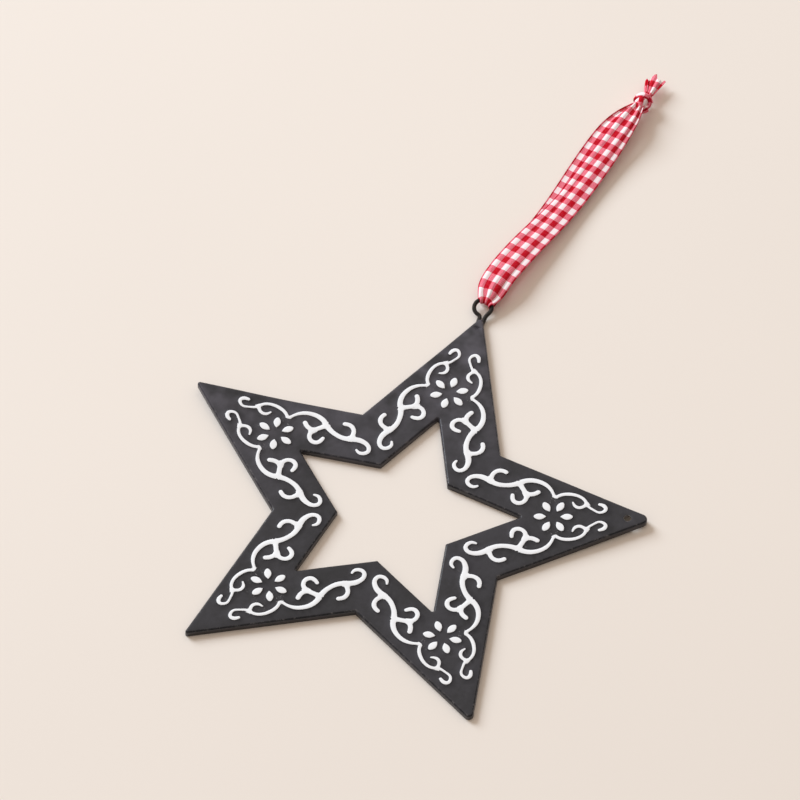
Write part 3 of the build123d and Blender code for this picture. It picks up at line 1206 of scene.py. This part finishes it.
    def enamel_patch(self, plan: np.ndarray, triangles: np.ndarray) -> Soup:
        """Enamel of one scroll: a low crown with a thin edge, closed below.

        Args:
            plan: Plan of the face.
            triangles: The triangles of that plan that are enamelled.

        Returns:
            The faces.
        """
        soup = Soup(("pattern",))
        distance = np.minimum(self.pattern.distance(plan), 0)
        top = self.rim_height + self.relief
        full = 1 - np.exp(distance / self.enamel_crown)
        crown = top + self.enamel * (self.enamel_edge + (1 - self.enamel_edge) * full)
        upper = np.column_stack([plan, crown, distance])
        lower = np.column_stack([plan, np.full(len(plan), top - self.enamel_root), distance])
        soup.add(upper[triangles])
        soup.add(lower[triangles][:, ::-1])
        sides = np.concatenate([triangles[:, [0, 1]], triangles[:, [1, 2]], triangles[:, [2, 0]]])
        both = {tuple(side) for side in sides.tolist()}
        start, end = np.array([side for side in both if side[::-1] not in both]).T
        soup.add(np.stack([upper[end], upper[start], lower[start], lower[end]], axis=1))
        return soup

    def petal_mesh(self) -> bpy.types.Mesh:
        """One domed petal along +X about the flower's centre, closed below.

        Returns:
            The mesh, in metres.
        """
        rings = []
        top = self.rim_height + self.relief
        turn = np.linspace(0, 1, len(self.pattern.petal(0, self.petal_spacing)), endpoint=False)
        crown = [(inset, self.enamel * share) for inset, share in self.petal_crown]
        for inset, rise in [(0.0, -self.enamel_root), *crown]:
            outline = self.pattern.petal(-2 * inset, self.petal_spacing)
            share = np.linspace(0, 1, len(outline), endpoint=False)
            ring = np.stack([np.interp(turn, np.r_[share, 1], np.r_[outline[:, k], outline[0, k]])
                             for k in range(2)], axis=1)
            height, depth = np.full(len(ring), top + rise), np.full(len(ring), -inset)
            rings.append(np.column_stack([ring, height, depth]))
        soup = Soup(("pattern",))
        for lower, upper in zip(rings, rings[1:]):
            wall = np.stack([lower, np.roll(lower, -1, 0), np.roll(upper, -1, 0), upper], axis=1)
            soup.add(wall[:, ::-1])
        for ring, flip in ((rings[-1], False), (rings[0], True)):
            hub = np.repeat(ring.mean(axis=0)[None], len(ring), axis=0)
            fan = np.stack([ring, np.roll(ring, -1, 0), hub], axis=1)
            soup.add(fan if flip else fan[:, ::-1])
        return soup.mesh("petal")

    def pieces(self, tin: bpy.types.Material, enamel: bpy.types.Material) -> list[Piece]:
        """Builds the tin and all its enamel.

        Args:
            tin: Material of the tin.
            enamel: Material of the enamel.

        Returns:
            The pieces, not yet placed.
        """
        halves = {kind: self.half_arm(kind) for kind in ArmKind}
        shell = Soup(("edge", "pattern", "bare_and_rim_highlight"))
        made = []
        for arm in range(self.arm_count):
            soup, (plan, triangles) = halves[self.kind(arm)]
            middle = self.pattern.scroll_distance(plan[triangles].mean(axis=1))
            scroll = self.enamel_patch(plan, triangles[middle < 0])
            for side, mirrored in (("right", False), ("left", True)):
                for faces in self.settle(soup.placed(arm * self.step, mirrored)):
                    shell.add(faces)
                line = Soup(scroll.columns, self.settle(scroll.placed(arm * self.step, mirrored)))
                node = f"scroll_{arm + 1}_{side}"
                mesh = line.mesh(node)
                made.append(Piece(f"enamel_{node}", mesh, enamel, Finish.ENAMEL, Body.STAR, (node,)))
        mesh = shell.mesh("tin_star")
        made.insert(0, Piece("tin_star", mesh, tin, Finish.TIN, Body.STAR, ("star_shell",)))
        petals = PetalRing().mesh(self.petal_mesh(), self.pattern.petal_count, enamel)
        middle = Matrix.Translation((*(c * MM for c in self.centre), 0))
        out = Matrix.Translation(Vector((*self.pattern.flower_centre(), 0)) * MM)
        for arm in range(self.arm_count):
            flower = petals.copy()
            turn = Matrix.Rotation(-math.radians(arm * self.step), 4, "Z")
            flower.transform(middle @ turn @ out)
            self.settle_mesh(flower)
            node = f"flower_{arm + 1}"
            made.append(Piece(f"enamel_{node}", flower, enamel, Finish.ENAMEL, Body.STAR, (node,)))
        return made


class NodeGroup(NodeTree):
    """A Geometry Nodes tree with named inputs."""

    def __init__(self, name: str, inputs: Sequence[tuple[str, str]]) -> None:
        """Makes the tree with a geometry input, further inputs and a geometry output.

        Args:
            name: Name of the tree.
            inputs: Name and socket type of each further input.
        """
        super().__init__(bpy.data.node_groups.new(name, "GeometryNodeTree"))
        face = self.tree.interface
        face.new_socket("Geometry", in_out="INPUT", socket_type="NodeSocketGeometry")
        self.identifiers: dict[str, str] = {}
        for label, kind in inputs:
            self.identifiers[label] = face.new_socket(label, in_out="INPUT", socket_type=kind).identifier
        face.new_socket("Geometry", in_out="OUTPUT", socket_type="NodeSocketGeometry")
        self.given = self.node("NodeGroupInput")

    def close(self, geometry: bpy.types.NodeSocket) -> None:
        """Realizes the geometry, gives it the Material input and sends it out."""
        real = self.node("GeometryNodeRealizeInstances", {}, {"Geometry": geometry})
        finish = {"Geometry": real.outputs[0], "Material": self.given.outputs["Material"]}
        dressed = self.node("GeometryNodeSetMaterial", {}, finish)
        self.node("NodeGroupOutput", {}, {"Geometry": dressed.outputs[0]})

    def run(self, mesh: bpy.types.Mesh, values: dict) -> bpy.types.Mesh:
        """Evaluates the tree on a mesh.

        Args:
            mesh: The mesh that it starts from.
            values: Inputs by name.

        Returns:
            The result as a plain mesh.
        """
        carrier = bpy.data.objects.new(self.tree.name, mesh)
        bpy.context.scene.collection.objects.link(carrier)
        modifier = carrier.modifiers.new(self.tree.name, "NODES")
        modifier.node_group = self.tree
        for name, value in values.items():
            modifier[self.identifiers[name]] = value
        evaluated = carrier.evaluated_get(bpy.context.evaluated_depsgraph_get())
        result = bpy.data.meshes.new_from_object(evaluated)
        carrier.modifiers.clear()
        bpy.data.objects.remove(carrier)
        return result


class PetalRing:
    """Geometry Nodes tree that repeats a petal around a flower's centre."""

    def __init__(self) -> None:
        """Builds the tree."""
        group = NodeGroup("petal ring", [("Count", "NodeSocketInt"), ("Material", "NodeSocketMaterial")])
        count = Val(group, group.given.outputs["Count"])
        line = group.node("GeometryNodeMeshLine", {}, {"Count": count, "Offset": (0, 0, 0)})
        turn = (group.value("GeometryNodeInputIndex") + 0.5) / count * (2 * math.pi)
        axis = group.node("ShaderNodeCombineXYZ", {}, {"Z": turn})
        spread = group.node("GeometryNodeInstanceOnPoints", {}, {
            "Points": line.outputs[0], "Instance": group.given.outputs["Geometry"],
            "Rotation": axis.outputs[0]})
        group.close(spread.outputs[0])
        self.group = group

    def mesh(self, petal: bpy.types.Mesh, count: int, material: bpy.types.Material) -> bpy.types.Mesh:
        """Makes the ring.

        Args:
            petal: One petal along +X.
            count: Number of petals.
            material: Their finish.

        Returns:
            All petals in one mesh.
        """
        return self.group.run(petal, {"Count": count, "Material": material})


@dataclass
class Band:
    """Cloth as rows of points across it, each point with its place on the cloth."""

    points: np.ndarray
    across: np.ndarray
    along: np.ndarray

    def faces(self, thickness: float) -> list[np.ndarray]:
        """Closed faces of the cloth with its thickness.

        Args:
            thickness: Thickness of the cloth.

        Returns:
            Blocks of four-cornered faces with x, y, z, across and along.
        """
        ahead, aside = np.gradient(self.points, axis=0), np.gradient(self.points, axis=1)
        normal = np.cross(aside, ahead)
        normal /= np.maximum(np.linalg.norm(normal, axis=2, keepdims=True), TINY)
        cloth = np.stack([self.across, self.along], axis=2)
        top = np.concatenate([self.points + normal * thickness / 2, cloth], axis=2)
        low = np.concatenate([self.points - normal * thickness / 2, cloth], axis=2)

        def quads(a: np.ndarray) -> np.ndarray:
            """Faces of one grid."""
            return np.stack([a[:-1, :-1], a[:-1, 1:], a[1:, 1:], a[1:, :-1]], axis=2).reshape(-1, 4, 5)

        blocks = [quads(top), quads(low)[:, ::-1]]
        for upper, lower, flip in ((top[0], low[0], True), (top[-1], low[-1], False),
                                   (top[:, 0], low[:, 0], False), (top[:, -1], low[:, -1], True)):
            side = np.stack([upper[:-1], upper[1:], lower[1:], lower[:-1]], axis=1)
            blocks.append(side[:, ::-1] if flip else side)
        return blocks


@dataclass(frozen=True)
class Crease:
    """Sharp lengthwise crease that stays in the cloth.

    Its place is across the cloth, from -1 to 1, and sways along it. A fan is sharper away from the eye.
    """

    depth: float
    place: float
    width: float
    sway: float = 0.0
    sway_length: float = 1.0
    sway_start: float = 0.0
    fade: float = math.inf
    fan: float = 0.0

    def depths(self, across: np.ndarray, along: np.ndarray) -> np.ndarray:
        """How far the cloth lies below its bow.

        Args:
            across: Place across, from -1 to 1.
            along: Distance from the eye.

        Returns:
            The depths.
        """
        middle = self.place + self.sway * np.sin(along / self.sway_length + self.sway_start)
        off = np.abs(across - middle) * (1 + self.fan * along)
        return self.depth * np.exp(-off / self.width) * np.exp(-along / self.fade)


@dataclass(frozen=True)
class KnotStrip:
    """Rolled-up strip of cloth in the knot.

    Each row has the place of its middle to the right of, along and above the knot's middle, its half width
    and half thickness there, and the direction that its flat side faces. The start is its place along the
    cloth and the crown its place across it.
    """

    rows: tuple[tuple[float, ...], ...]
    start: float
    crown: float


@dataclass(frozen=True)
class FreeEnd:
    """Free end of the ribbon beyond the knot.

    Each row has the place of its middle to the right of, along and above the knot's middle, its half width
    there and how far its middle stands above its edges. The start is its place along the cloth, left and
    right are the places of its edges across it, and the notch is how far the cut end reaches, at even steps
    across.
    """

    rows: tuple[tuple[float, ...], ...]
    start: float
    left: float
    right: float
    notch: tuple[float, ...]


@dataclass(frozen=True)
class Ribbon:
    """One length of gingham ribbon, doubled through the eye and tied.

    Points are to the right of, along and above the line on the floor that runs from under the eye's crown
    towards the knot.
    """

    crown: Vector
    axis: Vector
    width: float = 10.5
    cloth: float = 0.26
    eye_radius: float = 2.9
    row: float = 0.55
    columns: int = 37
    floor_gap: float = 0.06
    knot_distance: float = 96.6
    knot_height: float = 3.15
    slack: float = 2.3
    slack_reach: float = 28.0
    flat_length: float = 255.0
    weld: float = 0.001
    sharp: float = 60.0
    bight_rows: int = 6
    most_pull: float = 0.97
    pull_reach: float = 2.2
    pull_share: float = 0.75
    roll_row: float = 0.35
    roll_columns: int = 25
    roll_stretch: float = 1.2
    ripple: float = 0.06
    ripple_count: int = 9
    ripple_least: float = 0.2
    turn_sag: float = 0.9
    turn_half: float = 1.05
    turn_end_half: float = 0.9
    turn_thick: float = 0.55
    turn_lean: float = 0.2
    end_row: float = 0.3
    end_columns: int = 19
    end_ripple: float = 0.35
    end_ripple_count: int = 7
    cut_power: int = 3

    # Share, number of half waves across and start of each wave of the pleats
    pleat_waves = ((0.75, 2.3, 0.5), (0.25, 5.1, 1.3))
    creases = (Crease(0.28, -0.42, 0.10, sway=-0.1, sway_length=9.0),
               Crease(0.34, 0.58, 0.09, sway=0.06, sway_length=13.0, sway_start=1.0, fade=30.0),
               Crease(0.30, 0.16, 0.09, fade=12.0, fan=0.05))
    core = KnotStrip(((-0.4, -3.4, 0.4, 1.6, 1.0, 0, 0, 1), (0.1, -1.2, 0.9, 1.9, 1.5, 0, 0, 1),
                      (0.2, 1.0, 0.6, 1.8, 1.5, 0, 0, 1), (0.3, 3.3, 0.0, 1.0, 0.8, 0, 0, 1)), 0.0, 1.9)
    over = KnotStrip(((-0.9, 1.4, 1.9, 0.55, 0.45, 0, 0.2, 1), (-0.2, -0.1, 2.4, 0.8, 0.45, 0, 0.2, 1),
                      (0.5, -1.6, 2.1, 0.85, 0.45, 0, 0.2, 1), (1.1, -3.2, 1.2, 0.6, 0.45, 0, 0.2, 1)),
                     3.3, 1.9)
    loop = KnotStrip(((0.6, 1.6, 1.7, 0.7, 0.42, 0.2, 0.4, 1), (2.0, 1.9, 1.5, 0.85, 0.42, 0.4, 0.7, 0.8),
                      (3.1, 0.9, 0.9, 0.9, 0.42, 0.9, 0.4, 0.5), (3.4, -0.8, 0.4, 0.9, 0.42, 1, -0.1, 0.4),
                      (2.9, -2.4, 0.1, 0.8, 0.42, 0.8, -0.5, 0.4),
                      (1.7, -3.5, -0.2, 0.6, 0.42, 0.3, -0.9, 0.3)), 19.3, 4.4)
    turn_angles = (-70, -35, 0, 30, 60, 90, 120, 150, 180, 215, 250)
    turn_middle = (-0.2, 1.6, 0.1)
    turn_reach = (2.3, 0.5, 2.2)
    turn_start = 11.1
    fan_end = FreeEnd(((0.3, 1.0, 0.0, 0.8, 0.9), (0.5, 3.6, 0.1, 0.95, 0.8), (0.1, 7.4, 0.1, 1.8, 0.7),
                       (-0.3, 11.0, 0.0, 2.5, 0.5)), 3.0, -2.95, 2.0,
                      (0.2, 1.5, 1.9, 0.9, 0.2, -0.6, 0.1, -0.3, 1.0, 0.6))
    narrow_end = FreeEnd(((-0.1, 1.0, -0.5, 0.6, 0.9), (-0.6, 3.4, -0.4, 0.5, 0.9),
                          (-1.9, 6.4, -0.3, 0.75, 0.9), (-3.3, 9.2, -0.4, 0.7, 0.7)), 3.0, 1.2, 2.8,
                         (0.0, 0.8, -0.4, 0.5))
    # Along, height, drift, half widths to the left and right, pleat depth and droop of the edges, from the
    # knot round the eye and back
    course = (
        (95.6, 3.9, 0.3, 1.7, 1.4, 0.75, 0.0),
        (92.6, 4.9, 1.1, 2.9, 1.6, 0.62, 0.3),
        (88.6, 5.5, 1.9, 4.3, 2.0, 0.40, 0.5),
        (82.0, 4.9, 1.9, 4.9, 2.9, 0.24, 0.6),
        (74.0, 3.9, 1.5, 4.8, 3.8, 0.15, 0.6),
        (62.0, 3.1, 0.9, 4.4, 4.8, 0.10, 0.6),
        (50.0, 2.8, 0.5, 4.0, 5.3, 0.08, 0.5),
        (38.0, 3.3, 0.1, 4.6, 5.3, 0.08, 0.4),
        (26.0, 4.2, -0.6, 5.2, 5.2, 0.10, 0.4),
        (15.0, 5.1, -1.1, 5.3, 5.2, 0.14, 0.7),
        (8.0, 5.3, -1.1, 5.2, 5.1, 0.22, 1.0),
        (3.4, 4.75, -0.8, 4.7, 4.7, 0.32, 1.5),
        (1.2, 4.25, -0.3, 3.6, 3.6, 0.38, 1.2),
        (-0.2, 3.75, -0.1, 2.5, 2.5, 0.36, 0.5),
        (-1.1, 3.2, 0.0, 2.0, 2.0, 0.32, 0.0),
        (-1.45, 2.45, 0.0, 1.8, 1.8, 0.30, 0.0),
        (-1.0, 1.5, 0.0, 1.9, 1.9, 0.28, 0.0),
        (0.4, 0.95, -0.2, 2.6, 2.6, 0.20, 0.0),
        (3.0, 0.70, -1.6, 3.6, 4.0, 0.08, 0.0),
        (8.0, 0.55, -2.4, 4.1, 4.6, 0.04, 0.0),
        (20.0, 0.45, -2.4, 4.2, 4.8, 0.03, 0.0),
        (36.0, 0.45, -1.7, 4.3, 5.0, 0.03, 0.0),
        (48.0, 0.55, -1.5, 4.7, 5.1, 0.03, 0.0),
        (60.0, 0.75, -2.0, 5.0, 5.2, 0.06, 0.0),
        (74.0, 1.35, -2.5, 5.1, 5.1, 0.14, 0.1),
        (83.0, 2.15, -2.3, 4.8, 4.6, 0.30, 0.3),
        (90.0, 2.75, -1.5, 3.5, 3.4, 0.55, 0.2),
        (95.6, 2.7, -0.2, 1.8, 1.8, 0.70, 0.0),
    )

    def pleats(self, across: np.ndarray) -> np.ndarray:
        """Shape of the folds across the ribbon, from -1 to 1."""
        return sum(share * np.sin(count * math.pi * across + start)
                   for share, count, start in self.pleat_waves)

    def strands(self) -> Band:
        """Both strands and the bight around the eye.

        Returns:
            The cloth.
        """
        keys = np.array(self.course)
        path, _ = natural_spline(keys, self.row)
        along, height, drift, left, right_half, depth, droop = path.T
        ahead = np.gradient(path[:, :2], axis=0)
        step = np.linalg.norm(ahead, axis=1)
        ahead /= step[:, None]
        share = np.linspace(-1, 1, self.columns)
        # The front strand starts at the knot: the cloth's upper side is on the left of its way to the eye
        rise = np.stack([ahead[:, 1], -ahead[:, 0]], axis=1)
        fold = depth[:, None] * self.pleats(share)[None]
        front = smooth_step(np.arange(len(path)) - np.argmin(along), self.bight_rows, -self.bight_rows)
        from_eye = np.maximum(along, 0)[:, None]
        fold -= front[:, None] * sum(crease.depths(share[None], from_eye) for crease in self.creases)
        half = np.where(share < 0, left[:, None], right_half[:, None])
        right = drift[:, None] + half * share
        pull = np.clip(np.abs(right) / self.eye_radius, 0, self.most_pull)
        near_eye = np.exp(-np.clip(along, 0, None) / self.pull_reach)
        back = self.eye_radius * (1 - np.sqrt(1 - pull**2)) * near_eye[:, None]
        forward = along[:, None] + rise[:, :1] * fold - self.pull_share * back
        up = height[:, None] + rise[:, 1:] * fold - droop[:, None] * share[None] ** 2
        up = np.maximum(up, self.floor_gap + self.cloth / 2)
        points = np.stack([right, forward, up], axis=2)
        slack = np.clip(1 - along / self.slack_reach, 0, 1)
        slack[np.argmin(along):] = 1
        length = np.cumsum(step) - step[0] - self.slack * slack
        wide = np.broadcast_to(share * self.width / 2, right.shape)
        return Band(points, wide, np.broadcast_to(length[:, None], right.shape))

    @property
    def knot_place(self) -> np.ndarray:
        """Middle of the knot."""
        return np.array([0.0, self.knot_distance, self.knot_height])

    def roll(self, strip: KnotStrip) -> list[np.ndarray]:
        """Rolls one strip of the knot.

        Args:
            strip: The strip.

        Returns:
            Blocks of faces, as a band gives them.
        """
        path, _ = natural_spline(np.array(strip.rows, float), self.roll_row)
        centre, half, deep, face = path[:, :3] + self.knot_place, path[:, 3], path[:, 4], path[:, 5:8]
        ahead = np.gradient(centre, axis=0)
        step = np.linalg.norm(ahead, axis=1)
        ahead /= step[:, None]
        side = np.cross(ahead, face)
        side /= np.linalg.norm(side, axis=1)[:, None]
        face = np.cross(side, ahead)
        turns = np.linspace(0, 2 * math.pi, self.roll_columns)
        around = side[:, None] * (half[:, None] * np.cos(turns))[..., None]
        around = around + face[:, None] * (deep[:, None] * np.sin(turns))[..., None]
        wave = self.ripple * np.sin(self.ripple_count * turns)[None, :, None]
        ripple = wave * around / np.maximum(half, self.ripple_least)[:, None, None]
        points = centre[:, None] + around + ripple
        points[..., 2] = np.maximum(points[..., 2], self.floor_gap)
        length = strip.start + np.cumsum(step)
        across = strip.crown + half[:, None] * np.cos(turns)[None] * self.roll_stretch
        cloth = np.stack([across, np.broadcast_to(length[:, None], across.shape)], axis=2)
        grid = np.concatenate([points, cloth], axis=2)
        quads = np.stack([grid[:-1, :-1], grid[1:, :-1], grid[1:, 1:], grid[:-1, 1:]], axis=2)
        blocks = [quads.reshape(-1, *quads.shape[2:])]
        for ring, flip in ((grid[0], False), (grid[-1], True)):
            hub = np.repeat(ring[:-1].mean(axis=0)[None], len(ring) - 1, axis=0)
            cap = np.stack([ring[:-1], ring[1:], hub], axis=1)
            blocks.append(cap[:, ::-1] if flip else cap)
        return blocks

    def knot_turn(self) -> KnotStrip:
        """Turn of the ribbon across the knot's core."""
        (right, along, up), (out, ahead, high) = self.turn_middle, self.turn_reach
        halves = [self.turn_half] * len(self.turn_angles)
        halves[0] = halves[-1] = self.turn_end_half
        rows = []
        for angle, half in zip(self.turn_angles, halves):
            c, s = math.cos(math.radians(angle)), math.sin(math.radians(angle))
            sag = self.turn_sag * max(0, -c) ** 2
            rows.append((right + out * c, along + ahead * c - sag, up + high * s, half, self.turn_thick,
                         c, self.turn_lean, s))
        return KnotStrip(tuple(rows), self.turn_start, 0.0)

    def knot(self) -> list[np.ndarray]:
        """Overhand knot: a filled core, a turn across it and a loop that stands out to the right.

        Returns:
            Blocks of faces.
        """
        strips = (self.core, self.knot_turn(), self.over, self.loop)
        return [block for strip in strips for block in self.roll(strip)]

    def free_end(self, end: FreeEnd) -> Band:
        """Lays one free end.

        Args:
            end: The end.

        Returns:
            The cloth.
        """
        path, _ = natural_spline(np.array(end.rows), self.end_row)
        share = np.linspace(-1, 1, self.end_columns)
        ahead = np.gradient(path[:, :3], axis=0)
        step = np.linalg.norm(ahead, axis=1)
        ahead /= step[:, None]
        side = np.cross(ahead, (0, 0, 1.0))
        side /= np.linalg.norm(side, axis=1)[:, None]
        reach = np.interp(share, np.linspace(-1, 1, len(end.notch)), end.notch)
        grow = np.linspace(0, 1, len(path)) ** self.cut_power
        middle = path[:, :3] + self.knot_place
        points = middle[:, None] + side[:, None] * (path[:, 3][:, None] * share)[..., None]
        points += ahead[:, None] * (grow[:, None] * reach)[..., None]
        ripple = self.end_ripple * np.sin(self.end_ripple_count * share)
        rise = path[:, 4][:, None] * (0.5 - np.abs(share) + ripple)
        points[..., 2] = np.maximum(points[..., 2] + rise, self.floor_gap + self.cloth / 2)
        length = end.start + np.cumsum(step)
        wide = np.broadcast_to(end.left + (end.right - end.left) * (share + 1) / 2, rise.shape)
        return Band(points, wide, length[:, None] + grow[:, None] * reach)

    def placed(self, faces: np.ndarray) -> np.ndarray:
        """Faces moved from the ribbon's own lines to the frame."""
        right = np.array(self.axis)
        along = np.cross((0, 0, 1.0), right)
        moved = faces.copy()
        x, y = faces[..., :1], faces[..., 1:2]
        moved[..., :2] = np.array(self.crown)[:2] / MM + x * right[:2] + y * along[:2]
        return moved

    def piece(self, material: bpy.types.Material) -> Piece:
        """Builds the whole ribbon.

        Args:
            material: Its cloth.

        Returns:
            The piece, not yet placed.
        """
        soup = Soup(("across", "along"))
        blocks = self.strands().faces(self.cloth) + self.knot()
        for end in (self.fan_end, self.narrow_end):
            blocks += self.free_end(end).faces(self.cloth)
        for block in blocks:
            soup.add(self.placed(block))
        nodes = ("ribbon_loop", "ribbon_knot", "ribbon_tail_left", "ribbon_tail_right")
        mesh = soup.mesh("ribbon", self.weld)
        return Piece("ribbon", mesh, material, Finish.CLOTH, Body.RIBBON, nodes, self.sharp)


@dataclass(frozen=True)
class Studio:
    """Pale floor, soft light from the upper left and the camera."""

    centre: tuple[float, float]
    floor: Colour = srgb(240, 232, 224)
    backdrop: Colour = srgb(240, 233, 225)
    warm: Colour = (0.53, 0.455, 0.39)
    camera_place: tuple[float, float, float] = (462.546, -1368.988, 2128.119)
    azimuth: float = 18.667
    elevation: float = 54.987
    roll: float = 1.07
    lens: float = 359.28
    key_heading: float = 155.0
    key_elevation: float = 30.0
    key_distance: float = 3.2
    key_size: float = 1.5
    key_power: float = 108.0
    key_colour: Colour = (0.85, 0.95, 1.05)
    glint: float = 0.08
    glint_ahead: float = 0.02
    glow_from: tuple[float, float, float] = (-0.35, 0.45, 0.82)
    glow: float = 0.9
    sheen: float = 0.95
    sheen_width: float = 5.0
    least: float = 0.12
    glow_middle: float = 0.45
    floor_half: float = 6.0
    floor_drop: float = 0.0001
    floor_mottle: float = 0.985
    sensor: float = 36.0
    view_end: float = 50.0

    def build(self) -> None:
        """Makes floor, world, light and camera."""
        self.lay_floor()
        self.light()
        self.fill_world()
        self.aim()

    def lay_floor(self) -> None:
        """Lays a wide floor with a faint grain."""
        s = Shader("paper floor")
        cloud = s.noise(260, 2)
        mottle = tuple(c * self.floor_mottle for c in self.floor)
        pale = s.blend(cloud.between(0.3, 0.7), self.floor, mottle)
        material = s.dress({"Base Color": pale, "Roughness": 0.85, "Specular IOR Level": 0.2})
        half = self.floor_half
        mesh = bpy.data.meshes.new("floor")
        corners = [(-half, -half, 0), (half, -half, 0), (half, half, 0), (-half, half, 0)]
        mesh.from_pydata(corners, [], [(0, 1, 2, 3)])
        mesh.materials.append(material)
        made = bpy.data.objects.new("floor", mesh)
        bpy.context.scene.collection.objects.link(made)
        made.location.z = -self.floor_drop

    def light(self) -> None:
        """Hangs one large soft lamp, dimmer in reflections so that dark faces don't glare."""
        turn, up = math.radians(self.key_heading), math.radians(self.key_elevation)
        away = Vector((math.cos(turn) * math.cos(up), math.sin(turn) * math.cos(up), math.sin(up)))
        for name, share, mirrored in (("window", 1.0, False), ("window glint", self.glint, True)):
            lamp = bpy.data.lights.new(name, "AREA")
            lamp.shape = "SQUARE"
            lamp.size = self.key_size
            lamp.energy = self.key_power * share
            lamp.color = self.key_colour
            made = bpy.data.objects.new(name, lamp)
            bpy.context.scene.collection.objects.link(made)
            made.visible_glossy = mirrored
            made.visible_diffuse = not mirrored
            made.location = away * (self.key_distance - (self.glint_ahead if mirrored else 0.0))
            made.rotation_mode = "QUATERNION"
            made.rotation_quaternion = (-away).to_track_quat("-Z", "Y")

    def fill_world(self) -> None:
        """Lights the scene evenly and shows the backdrop's colour to the camera and in reflections."""
        world = bpy.data.worlds.new("studio")
        bpy.context.scene.world = world
        world.use_nodes = True
        sky = NodeTree(world.node_tree)
        way = sky.node("ShaderNodeTexCoord").outputs["Generated"]
        path = sky.node("ShaderNodeLightPath").outputs
        towards = sky.value("ShaderNodeVectorMath", {"operation": "DOT_PRODUCT"},
                            {0: way, 1: Vector(self.glow_from).normalized()}, "Value")
        level = towards * self.glow + (1.0 - self.glow_middle * self.glow)
        lobe = towards.math("MAXIMUM", 0.0).math("POWER", self.sheen_width)
        fill = sky.node("ShaderNodeBackground", {}, {"Color": self.warm, "Strength": level})
        seen = sky.node("ShaderNodeBackground", {}, {"Color": self.backdrop,
                                                     "Strength": lobe * self.sheen + self.least})
        direct = Val(sky, path["Is Camera Ray"])
        for ray in ("Is Glossy Ray", "Is Transmission Ray"):
            direct = direct.math("MAXIMUM", Val(sky, path[ray]))
        mixed = sky.node("ShaderNodeMixShader", {}, {0: direct, 1: fill.outputs[0], 2: seen.outputs[0]})
        sky.node("ShaderNodeOutputWorld", {}, {"Surface": mixed.outputs[0]})

    def aim(self) -> None:
        """Puts the camera at the photograph's place."""
        data = bpy.data.cameras.new("camera")
        data.sensor_width = self.sensor
        data.lens = self.lens
        data.clip_end = self.view_end
        made = bpy.data.objects.new("camera", data)
        bpy.context.scene.collection.objects.link(made)
        turn = Matrix.Rotation(math.radians(self.azimuth), 4, "Z")
        tip = Matrix.Rotation(math.radians(90 - self.elevation), 4, "X")
        place = (Vector(self.camera_place) + Vector((*self.centre, 0))) * MM
        made.matrix_world = (Matrix.Translation(place) @ turn @ tip
                             @ Matrix.Rotation(math.radians(self.roll), 4, "Z"))
        bpy.context.scene.camera = made
        bpy.context.scene.view_settings.view_transform = "Standard"


def star_centre() -> tuple[float, float]:
    """Middle of the five flowers, which is the star's centre, in millimetres."""
    middles = [sum(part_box(f"flower_{arm}"), Vector()) / 2 for arm in range(1, 6)]
    centre = sum(middles, Vector()) / len(middles) / MM
    return centre.x, centre.y


def main() -> None:
    """Builds, dresses and lights the ornament."""
    logging.basicConfig(level=logging.INFO, format="%(message)s")
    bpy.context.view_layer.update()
    centre = star_centre()
    Studio(centre).build()
    tin, enamel = BlackTin().material(), WhiteEnamel().material()
    for piece in TinStar(centre).pieces(tin, enamel):
        piece.place()
    for node, material in (("eye_wire", BlackWire().material()), ("eye_solder", Solder().material())):
        mesh = frame["nodes"][node].data
        mesh.materials.clear()
        mesh.materials.append(material)
    swing = frame["joints"][0]
    ribbon = Ribbon(Vector(swing["pos_m"]), Vector(swing["axis"]))
    cloth = ribbon.piece(Gingham().material()).place()


if __name__ == "__main__":
    main()
